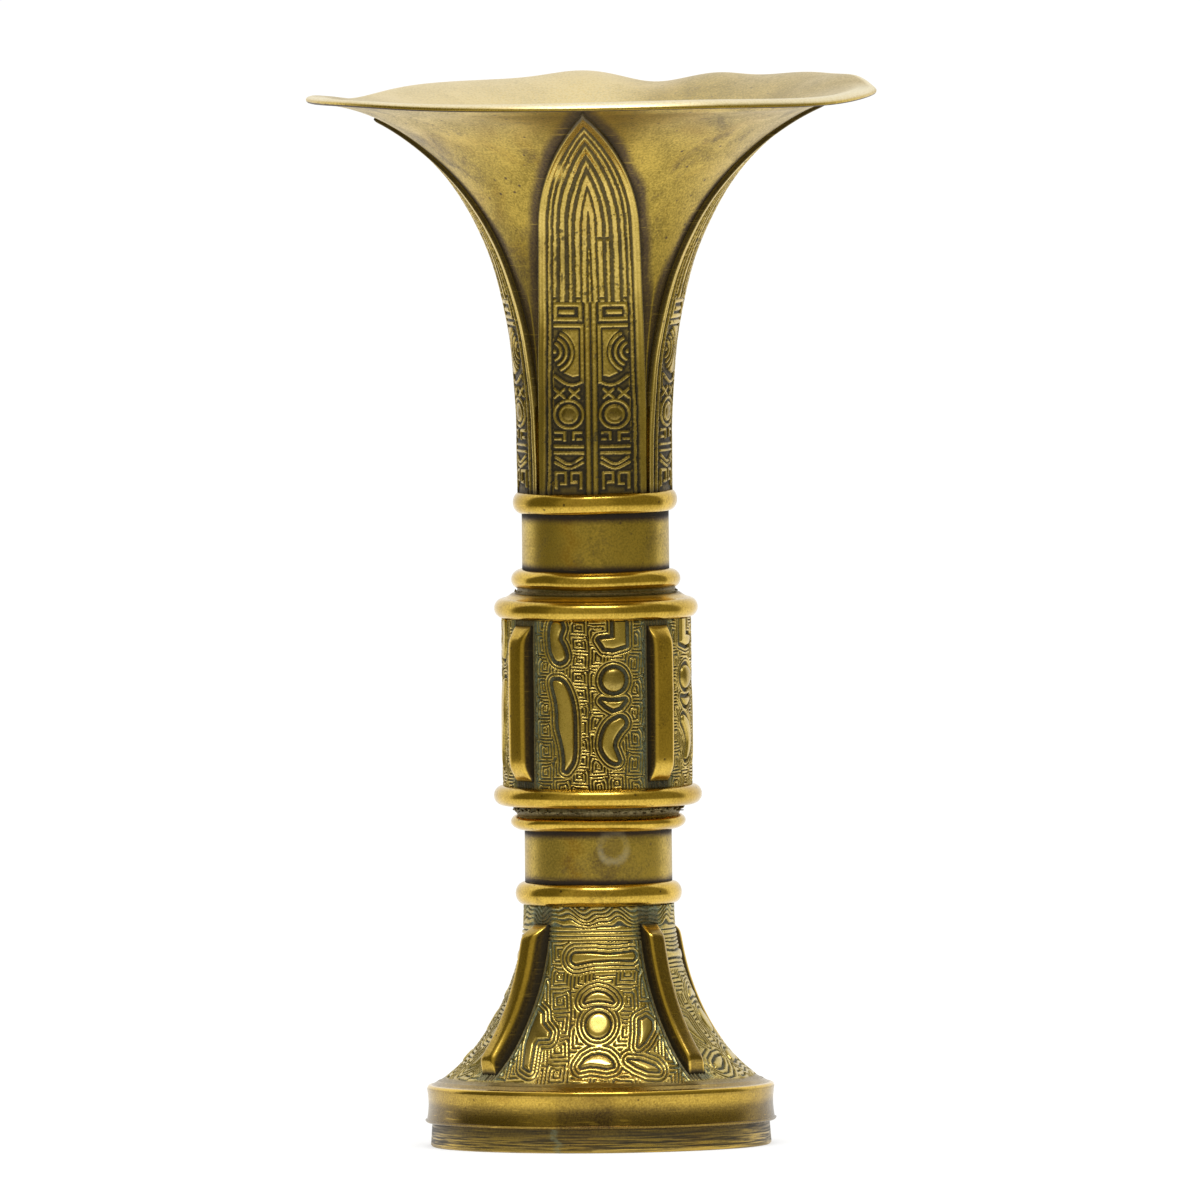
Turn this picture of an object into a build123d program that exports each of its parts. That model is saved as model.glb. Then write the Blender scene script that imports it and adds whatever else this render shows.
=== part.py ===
from build123d import *

import math
import os

# Bronze gu vessel, soldered up from cast sections: a trumpet neck with four applied blades, a plain
# collar, a hollow knop, a second collar and a spreading foot on a moulded base. Millimetres, +Z up,
# origin at the middle of the standing face. Angles are seen from above: 0 faces the front (-Y) and
# 90 faces right (+X).

# Walls and soldered fits
WALL = 2.0
SPIGOT_WALL = 1.0
SPIGOT_LENGTH = 5.0
SOLDER_GAP = 0.05

# Foot ring and plinth
PLINTH_RADIUS = 43.9
PLINTH_TOP_RADIUS = 43.3
PLINTH_WALL = 3.3
PLINTH_HEIGHT = 9.4
PLINTH_WAIST_DEPTH = 0.6
PLINTH_SHOULDER_RISE = 1.0
PLINTH_EDGE = 0.7
FOOT_RING_HEIGHT = 6.0
FOOT_RING_INSET = 1.3
FOOT_RING_NARROWING = 0.4
FOOT_RING_TONGUE = 3.0
FOOT_RING_EDGE = 0.4

# Spreading foot
FOOT_HEIGHT = 43.9
FOOT_ROOT_PROUD = 0.3
FOOT_FLARE_RISE_POWER = 1.0
FOOT_FLARE_SPREAD_POWER = 1.6

# Collars and the half-round beads and solder seams at their ends
COLLAR_RADIUS = 18.4
FOOT_BEAD_PROUD = 2.35
FOOT_BEAD_HEIGHT = 5.7
LOWER_BAND_HEIGHT = 13.0
LOWER_BEAD_PROUD = 3.5
LOWER_BEAD_HEIGHT = 4.2
LOWER_SEAM_PROUD = 2.8
LOWER_SEAM_HEIGHT = 2.0
UPPER_SEAM_PROUD = 2.2
UPPER_SEAM_HEIGHT = 1.0
UPPER_BEAD_PROUD = 2.7
UPPER_BEAD_HEIGHT = 5.0
UPPER_BAND_HEIGHT = 13.8
NECK_BEAD_PROUD = 2.1
NECK_BEAD_HEIGHT = 5.4

# Knop
KNOP_STEP = 5.2
KNOP_HEIGHT = 41.8
KNOP_WALL = 2.2
RING_STEP_HEIGHT = 1.6
LOWER_RING_PROUD = 2.4
LOWER_RING_HEIGHT = 5.0
UPPER_RING_PROUD = 1.9
UPPER_RING_HEIGHT = 6.2
UPPER_RING_BULGE = 5.0
UPPER_RING_NECK_STEP = 2.6
FLOOR_THICKNESS = 2.0

# Trumpet neck and mouth
NECK_HEIGHT = 98.4
MOUTH_RADIUS = 71.4
LIP_WALL = 1.6
LIP_EDGE = 0.6
NECK_FLARE_RISE_POWER = 0.667
NECK_FLARE_SPREAD_POWER = 1.05

# Applied blades on the neck
BLADE_THICKNESS = 1.1
BLADE_GAP = 1.2
BLADE_NARROWING = 0.8
BLADE_TIP_DROP = 1.4
BLADE_OGIVE_HEIGHT = 29.6
BLADE_TURN = -2.0

# Flanges on the knop and on the foot
KNOP_FLANGE_WIDTH = 6.2
KNOP_FLANGE_DEPTH = 3.5
KNOP_FLANGE_TOP_MARGIN = 1.2
KNOP_FLANGE_FOOT_MARGIN = 1.6
KNOP_FLANGE_END_SLANT = 2.8
KNOP_FLANGE_TURN = -5.0
FOOT_FLANGE_WIDTH = 5.4
FOOT_FLANGE_DEPTH = 4.6
FOOT_FLANGE_TOP_MARGIN = 4.4
FOOT_FLANGE_FOOT_MARGIN = 2.6
FOOT_FLANGE_TOP_SLANT = 2.8
FOOT_FLANGE_FOOT_SLANT = 1.2
FOOT_FLANGE_ANGLES = {"front_right": 41.0, "back_right": 124.0, "back_left": 221.0, "front_left": 311.0}
FLANGE_EDGE = 1.1
TENON_DEPTH = 1.0
TENON_WIDTH = 2.4
TENON_SHOULDER = 3.0

QUARTER_NAMES = ("front", "right", "back", "left")
CORNER_NAMES = ("front_right", "back_right", "back_left", "front_left")
CURVE_STEPS = 14

# Radii that follow from the sizes above
BORE_RADIUS = COLLAR_RADIUS - WALL
SPIGOT_RADIUS = BORE_RADIUS + SPIGOT_WALL
FOOT_ROOT_RADIUS = COLLAR_RADIUS + FOOT_ROOT_PROUD
PLINTH_BORE_RADIUS = PLINTH_RADIUS - PLINTH_WALL
TONGUE_RADIUS = PLINTH_BORE_RADIUS - SOLDER_GAP
KNOP_RADIUS = COLLAR_RADIUS + KNOP_STEP
KNOP_BORE_RADIUS = KNOP_RADIUS - KNOP_WALL
RING_STEP_RADIUS = KNOP_BORE_RADIUS - SOLDER_GAP

# Levels, each piece standing on the one below
PLINTH_Z = FOOT_RING_HEIGHT
FOOT_Z = PLINTH_Z + PLINTH_HEIGHT + PLINTH_SHOULDER_RISE
FOOT_BEAD_Z = FOOT_Z + FOOT_HEIGHT
LOWER_BAND_Z = FOOT_BEAD_Z + FOOT_BEAD_HEIGHT
LOWER_BEAD_Z = LOWER_BAND_Z + LOWER_BAND_HEIGHT
LOWER_SEAM_Z = LOWER_BEAD_Z + LOWER_BEAD_HEIGHT
LOWER_RING_Z = LOWER_SEAM_Z + LOWER_SEAM_HEIGHT
KNOP_Z = LOWER_RING_Z + LOWER_RING_HEIGHT
FLOOR_Z = KNOP_Z + RING_STEP_HEIGHT
UPPER_RING_Z = KNOP_Z + KNOP_HEIGHT
UPPER_SEAM_Z = UPPER_RING_Z + UPPER_RING_HEIGHT
UPPER_BEAD_Z = UPPER_SEAM_Z + UPPER_SEAM_HEIGHT
UPPER_BAND_Z = UPPER_BEAD_Z + UPPER_BEAD_HEIGHT
NECK_BEAD_Z = UPPER_BAND_Z + UPPER_BAND_HEIGHT
NECK_Z = NECK_BEAD_Z + NECK_BEAD_HEIGHT
MOUTH_Z = NECK_Z + NECK_HEIGHT


class Flare:
    """The outside of a wall that leaves its root straight and spreads to a level mouth.

    A place along the wall is a share, from 0 at the root to 1 at the mouth.
    """

    def __init__(self, root, mouth, rise, spread):
        self.root_radius, self.root_z = root
        self.growth = mouth[0] - self.root_radius
        self.height = mouth[1] - self.root_z
        self.rise = rise
        self.spread = spread

    def on_wall(self, share):
        """(radius, height) on the wall."""
        turn = math.pi / 2 * share**1.5
        radius = self.root_radius + self.growth * (1 - max(math.cos(turn), 0.0) ** self.spread)
        return radius, self.root_z + self.height * math.sin(turn) ** self.rise

    def point(self, share, outward=0.0):
        """The point in the XZ plane at a distance square to the wall."""
        step = 1e-4
        low_radius, low_z = self.on_wall(max(share - step, 0.0))
        high_radius, high_z = self.on_wall(min(share + step, 1.0))
        reach = math.copysign(outward, outward * self.height)
        reach /= math.hypot(high_radius - low_radius, high_z - low_z)
        radius, height = self.on_wall(share)
        return Vector(radius + reach * (high_z - low_z), 0, height - reach * (high_radius - low_radius))

    def share_where(self, is_past):
        """The share at which a test of the share turns from false to true."""
        low, high = 0.0, 1.0
        for _ in range(50):
            middle = (low + high) / 2
            low, high = (low, middle) if is_past(middle) else (middle, high)
        return low

    def share_below(self, drop):
        """The share at which the wall is that far below or above its root."""
        return self.share_where(lambda share: abs(self.on_wall(share)[1] - self.root_z) > drop)

    def curve(self, span, outward):
        """A smooth line along a span of shares, at a distance given for each end."""
        points = []
        for step in range(CURVE_STEPS + 1):
            part = step / CURVE_STEPS
            distance = outward[0] + (outward[1] - outward[0]) * part
            points.append(self.point(span[0] + (span[1] - span[0]) * part, distance))
        return Spline(*points)

    def layer(self, inner_span, inner_outward, outer_span, outer_outward):
        """The face in the XZ plane between two lines along the wall."""
        outer = self.curve(outer_span, outer_outward)
        inner = self.curve(inner_span, inner_outward)
        return Face(Wire([outer, Line(outer @ 1, inner @ 1), inner, Line(inner @ 0, outer @ 0)]))


NECK_FLARE = Flare(
    (COLLAR_RADIUS, NECK_Z), (MOUTH_RADIUS, MOUTH_Z), NECK_FLARE_RISE_POWER, NECK_FLARE_SPREAD_POWER
)
FOOT_FLARE = Flare(
    (FOOT_ROOT_RADIUS, FOOT_BEAD_Z), (TONGUE_RADIUS, FOOT_Z), FOOT_FLARE_RISE_POWER, FOOT_FLARE_SPREAD_POWER
)
WHOLE = (0.0, 1.0)


def at(radius, height):
    """A point of a turned profile, in the XZ plane."""
    return Vector(radius, 0, height)


def outline(*points):
    """Straight edges from point to point, not closed."""
    return Polyline(*points).edges()


def turned(*edges):
    """The solid that a closed profile sweeps round the axis."""
    return revolve(Face(Wire(edges)), Axis.Z)


def tube(inside, outside, bottom, top):
    """A plain ring of rectangular section."""
    first = at(inside, bottom)
    return turned(*outline(first, at(outside, bottom), at(outside, top), at(inside, top), first))


def collar_bead(proud, bottom, height):
    """A half-round ring on a collar."""
    middle = (COLLAR_RADIUS, bottom + height / 2)
    arc = Plane.XZ * EllipticalCenterArc(middle, proud, height / 2, start_angle=-90, arc_size=180)
    return turned(*arc.edges(), Line(at(COLLAR_RADIUS, bottom), at(COLLAR_RADIUS, bottom + height)))


def collar_seam(proud, bottom, height):
    """A flat ring of solder on a collar."""
    return tube(COLLAR_RADIUS, COLLAR_RADIUS + proud, bottom, bottom + height)


def facing(shape, angle):
    """A shape built towards +X, turned to face an angle seen from above."""
    return shape.rotate(Axis.Z, angle - 90)


def foot_ring():
    """The plain ring that the vessel stands on, with a tongue inside the plinth."""
    inside = TONGUE_RADIUS - SPIGOT_WALL
    outside = PLINTH_RADIUS - FOOT_RING_INSET
    tongue_top = FOOT_RING_HEIGHT + FOOT_RING_TONGUE
    band = turned(
        *outline(
            at(inside, 0),
            at(outside, 0),
            at(outside - FOOT_RING_NARROWING, FOOT_RING_HEIGHT),
            at(TONGUE_RADIUS, FOOT_RING_HEIGHT),
            at(TONGUE_RADIUS, tongue_top),
            at(inside, tongue_top),
            at(inside, 0),
        )
    )
    standing_edges = band.edges().filter_by_position(Axis.Z, 0, 0).filter_by(GeomType.CIRCLE)
    return chamfer(standing_edges, FOOT_RING_EDGE)


def foot_plinth():
    """The moulded ring round the base, with a hollowed face, a lip below and a sloping shoulder."""
    shoulder_z = PLINTH_Z + PLINTH_HEIGHT
    face = ThreePointArc(
        at(PLINTH_RADIUS, PLINTH_Z),
        at(PLINTH_RADIUS - PLINTH_WAIST_DEPTH, PLINTH_Z + PLINTH_HEIGHT / 2),
        at(PLINTH_TOP_RADIUS, shoulder_z),
    )
    rest = outline(
        at(PLINTH_TOP_RADIUS, shoulder_z),
        at(PLINTH_BORE_RADIUS, FOOT_Z),
        at(PLINTH_BORE_RADIUS, PLINTH_Z),
        at(PLINTH_RADIUS, PLINTH_Z),
    )
    ring = turned(face, *rest)
    rims = ring.edges().filter_by(GeomType.CIRCLE).sort_by(lambda edge: edge.radius)[-2:]
    return fillet(rims, PLINTH_EDGE)


def foot_strip(width, inside, outside, shorten, top_slant=0.0, foot_slant=0.0):
    """A bar along the foot's curve, facing +X, between two distances from the wall."""
    drop_top = FOOT_FLANGE_TOP_MARGIN + shorten
    drop_bottom = FOOT_HEIGHT - FOOT_FLANGE_FOOT_MARGIN - shorten
    inner = (FOOT_FLARE.share_below(drop_top), FOOT_FLARE.share_below(drop_bottom))
    outer = (FOOT_FLARE.share_below(drop_top + top_slant), FOOT_FLARE.share_below(drop_bottom - foot_slant))
    face = FOOT_FLARE.layer(inner, (inside, inside), outer, (outside, outside))
    return extrude(face, width / 2, dir=(0, 1, 0), both=True)


def foot_tenon(room=0.0):
    """The rib on a foot flange's root; with room it is the slot that the rib seats in."""
    return foot_strip(TENON_WIDTH + 2 * room, -TENON_DEPTH - room, TENON_DEPTH, TENON_SHOULDER - room)


def foot_flange():
    """A flange of the foot, facing +X, that follows the foot's curve, with a rib on its root."""
    slants = (FOOT_FLANGE_TOP_SLANT, FOOT_FLANGE_FOOT_SLANT)
    bar = foot_strip(FOOT_FLANGE_WIDTH, -WALL, FOOT_FLANGE_DEPTH, 0, *slants)
    outer_faces = bar.faces().sort_by(lambda face: distance_from_foot(face.center()))[-1:]
    bar = fillet(outer_faces.edges(), min(FLANGE_EDGE, FOOT_FLANGE_WIDTH / 3))
    body = revolve(FOOT_FLARE.layer(WHOLE, (-2 * WALL, -2 * WALL), WHOLE, (0, 0)), Axis.Z)
    return bar - body + (foot_tenon() & body)


def distance_from_foot(point):
    """How far a point in the plane facing +X stands off the foot's wall, measured level."""
    share = FOOT_FLARE.share_below(FOOT_BEAD_Z - point.Z)
    return point.X - FOOT_FLARE.point(share).X


def foot_cone():
    """The hollow foot, with a socket for the collar, a skirt in the plinth and slots for its flanges."""
    skirt_radius = TONGUE_RADIUS - WALL
    skirt_z = PLINTH_Z + FOOT_RING_TONGUE
    hollow_end = FOOT_FLARE.share_where(lambda share: FOOT_FLARE.point(share, -WALL).X > skirt_radius)
    wall = FOOT_FLARE.curve(WHOLE, (0, 0))
    hollow = FOOT_FLARE.curve((0, hollow_end), (-WALL, -WALL))
    skirt = outline(wall @ 1, at(TONGUE_RADIUS, skirt_z), at(skirt_radius, skirt_z), hollow @ 1)
    cone = turned(wall, *skirt, hollow, Line(hollow @ 0, wall @ 0))
    cone -= tube(BORE_RADIUS, SPIGOT_RADIUS, FOOT_BEAD_Z - SPIGOT_LENGTH, FOOT_BEAD_Z)
    for angle in FOOT_FLANGE_ANGLES.values():
        cone -= facing(foot_tenon(SOLDER_GAP), angle)
    return cone


def lower_collar():
    """A plain sleeve with a spigot at each end, down into the foot and up through the ring to the floor."""
    sleeve = tube(BORE_RADIUS, COLLAR_RADIUS, FOOT_BEAD_Z, LOWER_RING_Z)
    return sleeve + tube(BORE_RADIUS, SPIGOT_RADIUS - SOLDER_GAP, FOOT_BEAD_Z - SPIGOT_LENGTH, FLOOR_Z)


def knop_lower_ring():
    """The ring under the knop: a round moulding, and a step that locates the drum and carries the floor."""
    bulge = LOWER_RING_HEIGHT / 2
    bulge_radius = KNOP_RADIUS + LOWER_RING_PROUD - bulge
    face = ThreePointArc(
        at(bulge_radius, LOWER_RING_Z),
        at(bulge_radius + bulge, LOWER_RING_Z + bulge),
        at(bulge_radius, KNOP_Z),
    )
    rest = outline(
        at(bulge_radius, KNOP_Z),
        at(RING_STEP_RADIUS, KNOP_Z),
        at(RING_STEP_RADIUS, FLOOR_Z),
        at(SPIGOT_RADIUS, FLOOR_Z),
        at(SPIGOT_RADIUS, LOWER_RING_Z),
        at(bulge_radius, LOWER_RING_Z),
    )
    return turned(face, *rest)


def cup_floor():
    """The disc that closes the cup, soldered on the lower ring's step inside the drum."""
    on_its_base = (Align.CENTER, Align.CENTER, Align.MIN)
    return Pos(0, 0, FLOOR_Z) * Cylinder(RING_STEP_RADIUS, FLOOR_THICKNESS, align=on_its_base)


def knop_tenon(room=0.0):
    """The rib on a knop flange's root, facing +X; with room it is the slot that the rib seats in."""
    bottom = KNOP_Z + KNOP_FLANGE_FOOT_MARGIN + TENON_SHOULDER - room
    top = UPPER_RING_Z - KNOP_FLANGE_TOP_MARGIN - TENON_SHOULDER + room
    block = Box(
        2 * TENON_DEPTH, TENON_WIDTH + 2 * room, top - bottom, align=(Align.MIN, Align.CENTER, Align.MIN)
    )
    return Pos(KNOP_RADIUS - TENON_DEPTH - room, 0, bottom) * block


def knop_flange():
    """A flange of the knop, facing +X, with slanted ends, eased edges and a rib on its curved root."""
    bottom = KNOP_Z + KNOP_FLANGE_FOOT_MARGIN
    top = UPPER_RING_Z - KNOP_FLANGE_TOP_MARGIN
    tip = KNOP_RADIUS + KNOP_FLANGE_DEPTH
    side = outline(
        at(KNOP_BORE_RADIUS, bottom),
        at(KNOP_RADIUS, bottom),
        at(tip, bottom + KNOP_FLANGE_END_SLANT),
        at(tip, top - KNOP_FLANGE_END_SLANT),
        at(KNOP_RADIUS, top),
        at(KNOP_BORE_RADIUS, top),
        at(KNOP_BORE_RADIUS, bottom),
    )
    bar = extrude(Face(Wire(side)), KNOP_FLANGE_WIDTH / 2, dir=(0, 1, 0), both=True)
    outer_face = bar.faces().sort_by(Axis.X)[-1]
    bar = fillet(outer_face.edges(), min(FLANGE_EDGE, KNOP_FLANGE_WIDTH / 3))
    body = tube(SPIGOT_RADIUS, KNOP_RADIUS, KNOP_Z, UPPER_RING_Z)
    return bar - body + (knop_tenon() & body)


def knop_flange_angle(corner):
    """Where a knop flange stands: at the corners of a square that is turned a little."""
    return 45 + 90 * corner + KNOP_FLANGE_TURN


def knop_drum():
    """The hollow drum of the knop, with a slot for each flange's rib."""
    drum = tube(KNOP_BORE_RADIUS, KNOP_RADIUS, KNOP_Z, UPPER_RING_Z)
    for corner in range(len(CORNER_NAMES)):
        drum -= facing(knop_tenon(SOLDER_GAP), knop_flange_angle(corner))
    return drum


def knop_upper_ring():
    """The ring that caps the knop: a round moulding, a slope up to the collar and a step into the drum."""
    ring_radius = KNOP_RADIUS + UPPER_RING_PROUD
    neck_radius = COLLAR_RADIUS + UPPER_RING_NECK_STEP
    bulge_z = UPPER_RING_Z + UPPER_RING_BULGE
    slope_radius = (neck_radius + ring_radius) / 2
    step_z = UPPER_RING_Z - RING_STEP_HEIGHT
    face = ThreePointArc(
        at(KNOP_RADIUS, UPPER_RING_Z),
        at(ring_radius, UPPER_RING_Z + UPPER_RING_BULGE / 2),
        at(slope_radius, bulge_z),
    )
    rest = outline(
        at(slope_radius, bulge_z),
        at(neck_radius, UPPER_SEAM_Z),
        at(SPIGOT_RADIUS, UPPER_SEAM_Z),
        at(SPIGOT_RADIUS, step_z),
        at(RING_STEP_RADIUS, step_z),
        at(RING_STEP_RADIUS, UPPER_RING_Z),
        at(KNOP_RADIUS, UPPER_RING_Z),
    )
    return turned(face, *rest)


def upper_collar():
    """A plain sleeve: the neck drops into its top, and its own spigot runs through the knop's ring."""
    sleeve = tube(BORE_RADIUS, COLLAR_RADIUS, UPPER_SEAM_Z, NECK_Z)
    socket = tube(BORE_RADIUS, SPIGOT_RADIUS, NECK_Z - SPIGOT_LENGTH, NECK_Z)
    spigot = tube(BORE_RADIUS, SPIGOT_RADIUS - SOLDER_GAP, UPPER_RING_Z - RING_STEP_HEIGHT, UPPER_SEAM_Z)
    return sleeve - socket + spigot


def trumpet_neck():
    """The flaring mouth and neck, with the spigot that drops into the upper collar."""
    neck = revolve(NECK_FLARE.layer(WHOLE, (-WALL, -LIP_WALL), WHOLE, (0, 0)), Axis.Z)
    lip = neck.edges().filter_by(GeomType.CIRCLE).sort_by(lambda edge: edge.radius)[-2:]
    neck = fillet(lip, min(LIP_EDGE, LIP_WALL / 3))
    return neck + tube(BORE_RADIUS, SPIGOT_RADIUS - SOLDER_GAP, NECK_Z - SPIGOT_LENGTH, NECK_Z)


def neck_blade():
    """A leaf-shaped blade facing the front, cut from a layer on the neck by its outline and a wedge."""
    layer = revolve(NECK_FLARE.layer(WHOLE, (0, 0), WHOLE, (BLADE_THICKNESS, BLADE_THICKNESS)), Axis.Z)
    outside = COLLAR_RADIUS + BLADE_THICKNESS
    half_angle = math.pi / 4 - BLADE_GAP / 2 / outside
    root_half = outside * math.sin(half_angle)
    shoulder_half = root_half - BLADE_NARROWING
    tip = at(0, MOUTH_Z - BLADE_TIP_DROP)
    shoulder_z = tip.Z - BLADE_OGIVE_HEIGHT
    right, left = at(shoulder_half, shoulder_z), at(-shoulder_half, shoulder_z)
    sides = outline(left, at(-root_half, NECK_Z), at(root_half, NECK_Z), right)
    ogive = [TangentArc(shoulder, tip, tangent=(0, 0, 1)) for shoulder in (right, left)]
    leaf = extrude(Face(Wire([*sides, *ogive])), MOUTH_RADIUS, dir=(0, -1, 0))
    reach = 2 * MOUTH_RADIUS
    corner_x, corner_y = reach * math.sin(half_angle), -reach * math.cos(half_angle)
    axis_point = (0, 0, NECK_Z)
    triangle = outline(axis_point, (corner_x, corner_y, NECK_Z), (-corner_x, corner_y, NECK_Z), axis_point)
    wedge = extrude(Face(Wire(triangle)), NECK_HEIGHT, dir=(0, 0, 1))
    return layer & leaf & wedge


def all_pieces():
    """Every node of the vessel by name, from the foot up."""
    pieces = {
        "foot_ring": foot_ring(),
        "foot_plinth": foot_plinth(),
        "foot_cone": foot_cone(),
        "foot_bead": collar_bead(FOOT_BEAD_PROUD, FOOT_BEAD_Z, FOOT_BEAD_HEIGHT),
        "lower_collar": lower_collar(),
        "lower_collar_bead": collar_bead(LOWER_BEAD_PROUD, LOWER_BEAD_Z, LOWER_BEAD_HEIGHT),
        "lower_solder_seam": collar_seam(LOWER_SEAM_PROUD, LOWER_SEAM_Z, LOWER_SEAM_HEIGHT),
        "knop_lower_ring": knop_lower_ring(),
        "cup_floor": cup_floor(),
        "knop_drum": knop_drum(),
        "knop_upper_ring": knop_upper_ring(),
        "upper_solder_seam": collar_seam(UPPER_SEAM_PROUD, UPPER_SEAM_Z, UPPER_SEAM_HEIGHT),
        "upper_collar_bead": collar_bead(UPPER_BEAD_PROUD, UPPER_BEAD_Z, UPPER_BEAD_HEIGHT),
        "upper_collar": upper_collar(),
        "neck_bead": collar_bead(NECK_BEAD_PROUD, NECK_BEAD_Z, NECK_BEAD_HEIGHT),
        "trumpet_neck": trumpet_neck(),
    }
    flange = foot_flange()
    for name, angle in FOOT_FLANGE_ANGLES.items():
        pieces["foot_flange_" + name] = facing(flange, angle)
    flange = knop_flange()
    for corner, name in enumerate(CORNER_NAMES):
        pieces["knop_flange_" + name] = facing(flange, knop_flange_angle(corner))
    blade = neck_blade()
    for quarter, name in enumerate(QUARTER_NAMES):
        pieces["neck_blade_" + name] = blade.rotate(Axis.Z, 90 * quarter + BLADE_TURN)
    return pieces


os.makedirs("parts", exist_ok=True)
for name, solid in all_pieces().items():
    export_step(solid, "parts/" + name + ".step")
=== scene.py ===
"""Gu vase of cast brass, soldered up from turned sections and chased panels, dressed for its photograph.

Lengths are in millimetres until a mesh is made. An azimuth is seen from above: 0 faces the front (-Y)
and 90 faces right (+X).
"""

import logging
import math
from collections.abc import Callable
from dataclasses import dataclass, replace
from enum import Enum

import bpy
import numpy as np
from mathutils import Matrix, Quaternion, Vector


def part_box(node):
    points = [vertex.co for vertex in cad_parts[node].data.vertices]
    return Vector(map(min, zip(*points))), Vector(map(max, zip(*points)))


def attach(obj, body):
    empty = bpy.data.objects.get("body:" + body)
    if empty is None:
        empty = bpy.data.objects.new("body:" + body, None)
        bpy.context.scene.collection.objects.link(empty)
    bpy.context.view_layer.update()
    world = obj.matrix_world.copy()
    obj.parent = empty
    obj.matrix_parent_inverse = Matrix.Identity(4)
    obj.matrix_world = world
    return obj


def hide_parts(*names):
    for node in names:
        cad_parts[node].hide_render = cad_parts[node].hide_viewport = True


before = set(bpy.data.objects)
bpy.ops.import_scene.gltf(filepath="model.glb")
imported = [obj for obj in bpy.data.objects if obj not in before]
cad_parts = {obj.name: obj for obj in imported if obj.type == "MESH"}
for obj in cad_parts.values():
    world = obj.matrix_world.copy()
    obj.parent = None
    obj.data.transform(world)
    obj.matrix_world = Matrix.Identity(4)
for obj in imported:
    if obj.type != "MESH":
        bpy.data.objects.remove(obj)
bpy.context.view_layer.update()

MM = 0.001
TURN = 2 * math.pi
BODY = "root"
UV_MAP = "OFBake"
GRID_SHARE = 0.94
CAP_SIZE = (0.02, 0.98)
CAP_CORNERS = ((0.95, 0.01), (0.975, 0.01))
TURNED_STEPS = 320
FLARE_STEPS = 4001
MATH = "ShaderNodeMath"
VECTOR = "ShaderNodeVectorMath"
RANGE = "ShaderNodeMapRange"
NOISE = "ShaderNodeTexNoise"
FLOAT = "NodeSocketFloat"
WHOLE = "NodeSocketInt"
Layers = dict[str, np.ndarray]
log = logging.getLogger("gu_vase")


def linear(colour: str) -> tuple[float, float, float, float]:
    """Turns an sRGB hex colour into linear light.

    Args:
        colour: six hex digits after a hash sign.

    Returns:
        Red, green, blue and an alpha of 1.
    """
    parts = [int(colour[place : place + 2], 16) / 255 for place in (1, 3, 5)]
    red, green, blue = (c / 12.92 if c <= 0.04045 else ((c + 0.055) / 1.055) ** 2.4 for c in parts)
    return red, green, blue, 1.0


def add_node(
    tree: bpy.types.NodeTree, kind: str, inputs: dict | tuple = (), **settings: object
) -> bpy.types.Node:
    """Adds a node with its settings and links.

    Args:
        tree: the tree that gets the node.
        kind: Blender's name for the node.
        inputs: a value, or a socket to link from, for each input in order, or by name or place.
        settings: the node's own properties.

    Returns:
        The node.
    """
    node = tree.nodes.new(kind)
    for key, value in settings.items():
        setattr(node, key, value)
    for key, value in inputs.items() if isinstance(inputs, dict) else enumerate(inputs):
        if isinstance(value, bpy.types.NodeSocket):
            tree.links.new(value, node.inputs[key])
        else:
            node.inputs[key].default_value = value
    return node


def eased(low: float, high: float, value: np.ndarray) -> np.ndarray:
    """Rises smoothly from 0 where a value is at low to 1 where it is at high."""
    part = np.clip((value - low) / (high - low), 0.0, 1.0)
    return part * part * (3 - 2 * part)


def waver(angle: np.ndarray, level: np.ndarray, seed: int, reach: float) -> np.ndarray:
    """Slow hand-made unevenness, in millimetres either way, that closes round the vase.

    Args:
        angle: azimuths in radians.
        level: heights in millimetres.
        seed: which of the uneven shapes it is.
        reach: about how far it goes.

    Returns:
        An offset for each place.
    """
    draw = np.random.default_rng(seed)
    total = np.zeros(np.broadcast(angle, level).shape)
    for waves in (2, 3, 5, 7, 11):
        turn, slope = draw.uniform(0, TURN), draw.normal(0, 0.12)
        total = total + np.sin(waves * angle + slope * level + turn) / waves
    return reach * total


def bell(offset: np.ndarray, half_width: float) -> np.ndarray:
    """A smooth hump: 1 at an offset of 0, and about a third at the half width."""
    return np.exp(-((offset / half_width) ** 2))


def degrees_from(angle: np.ndarray, towards: float = 0.0) -> np.ndarray:
    """How far azimuths in radians are from a direction in degrees, up to 180 degrees either way."""
    return (np.degrees(angle) - towards + 180) % 360 - 180


def clumped(noise: np.ndarray, step: int, parts: int) -> np.ndarray:
    """Noise gathered from each place and three neighbours that are some steps away."""
    beside = np.roll(noise, step, 0), np.roll(noise, step, 1), np.roll(noise, (step, step), (0, 1))
    return (noise + beside[0] + beside[1] + beside[2]) / parts


class Finish(Enum):
    """The record's material slots."""

    SATIN = "satin_brass"
    POLISHED = "polished_brass"
    CHASED = "chased_brass"
    BASE = "base_brass"
    SOLDER = "solder"
    INNER = "inner_brass"


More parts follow.
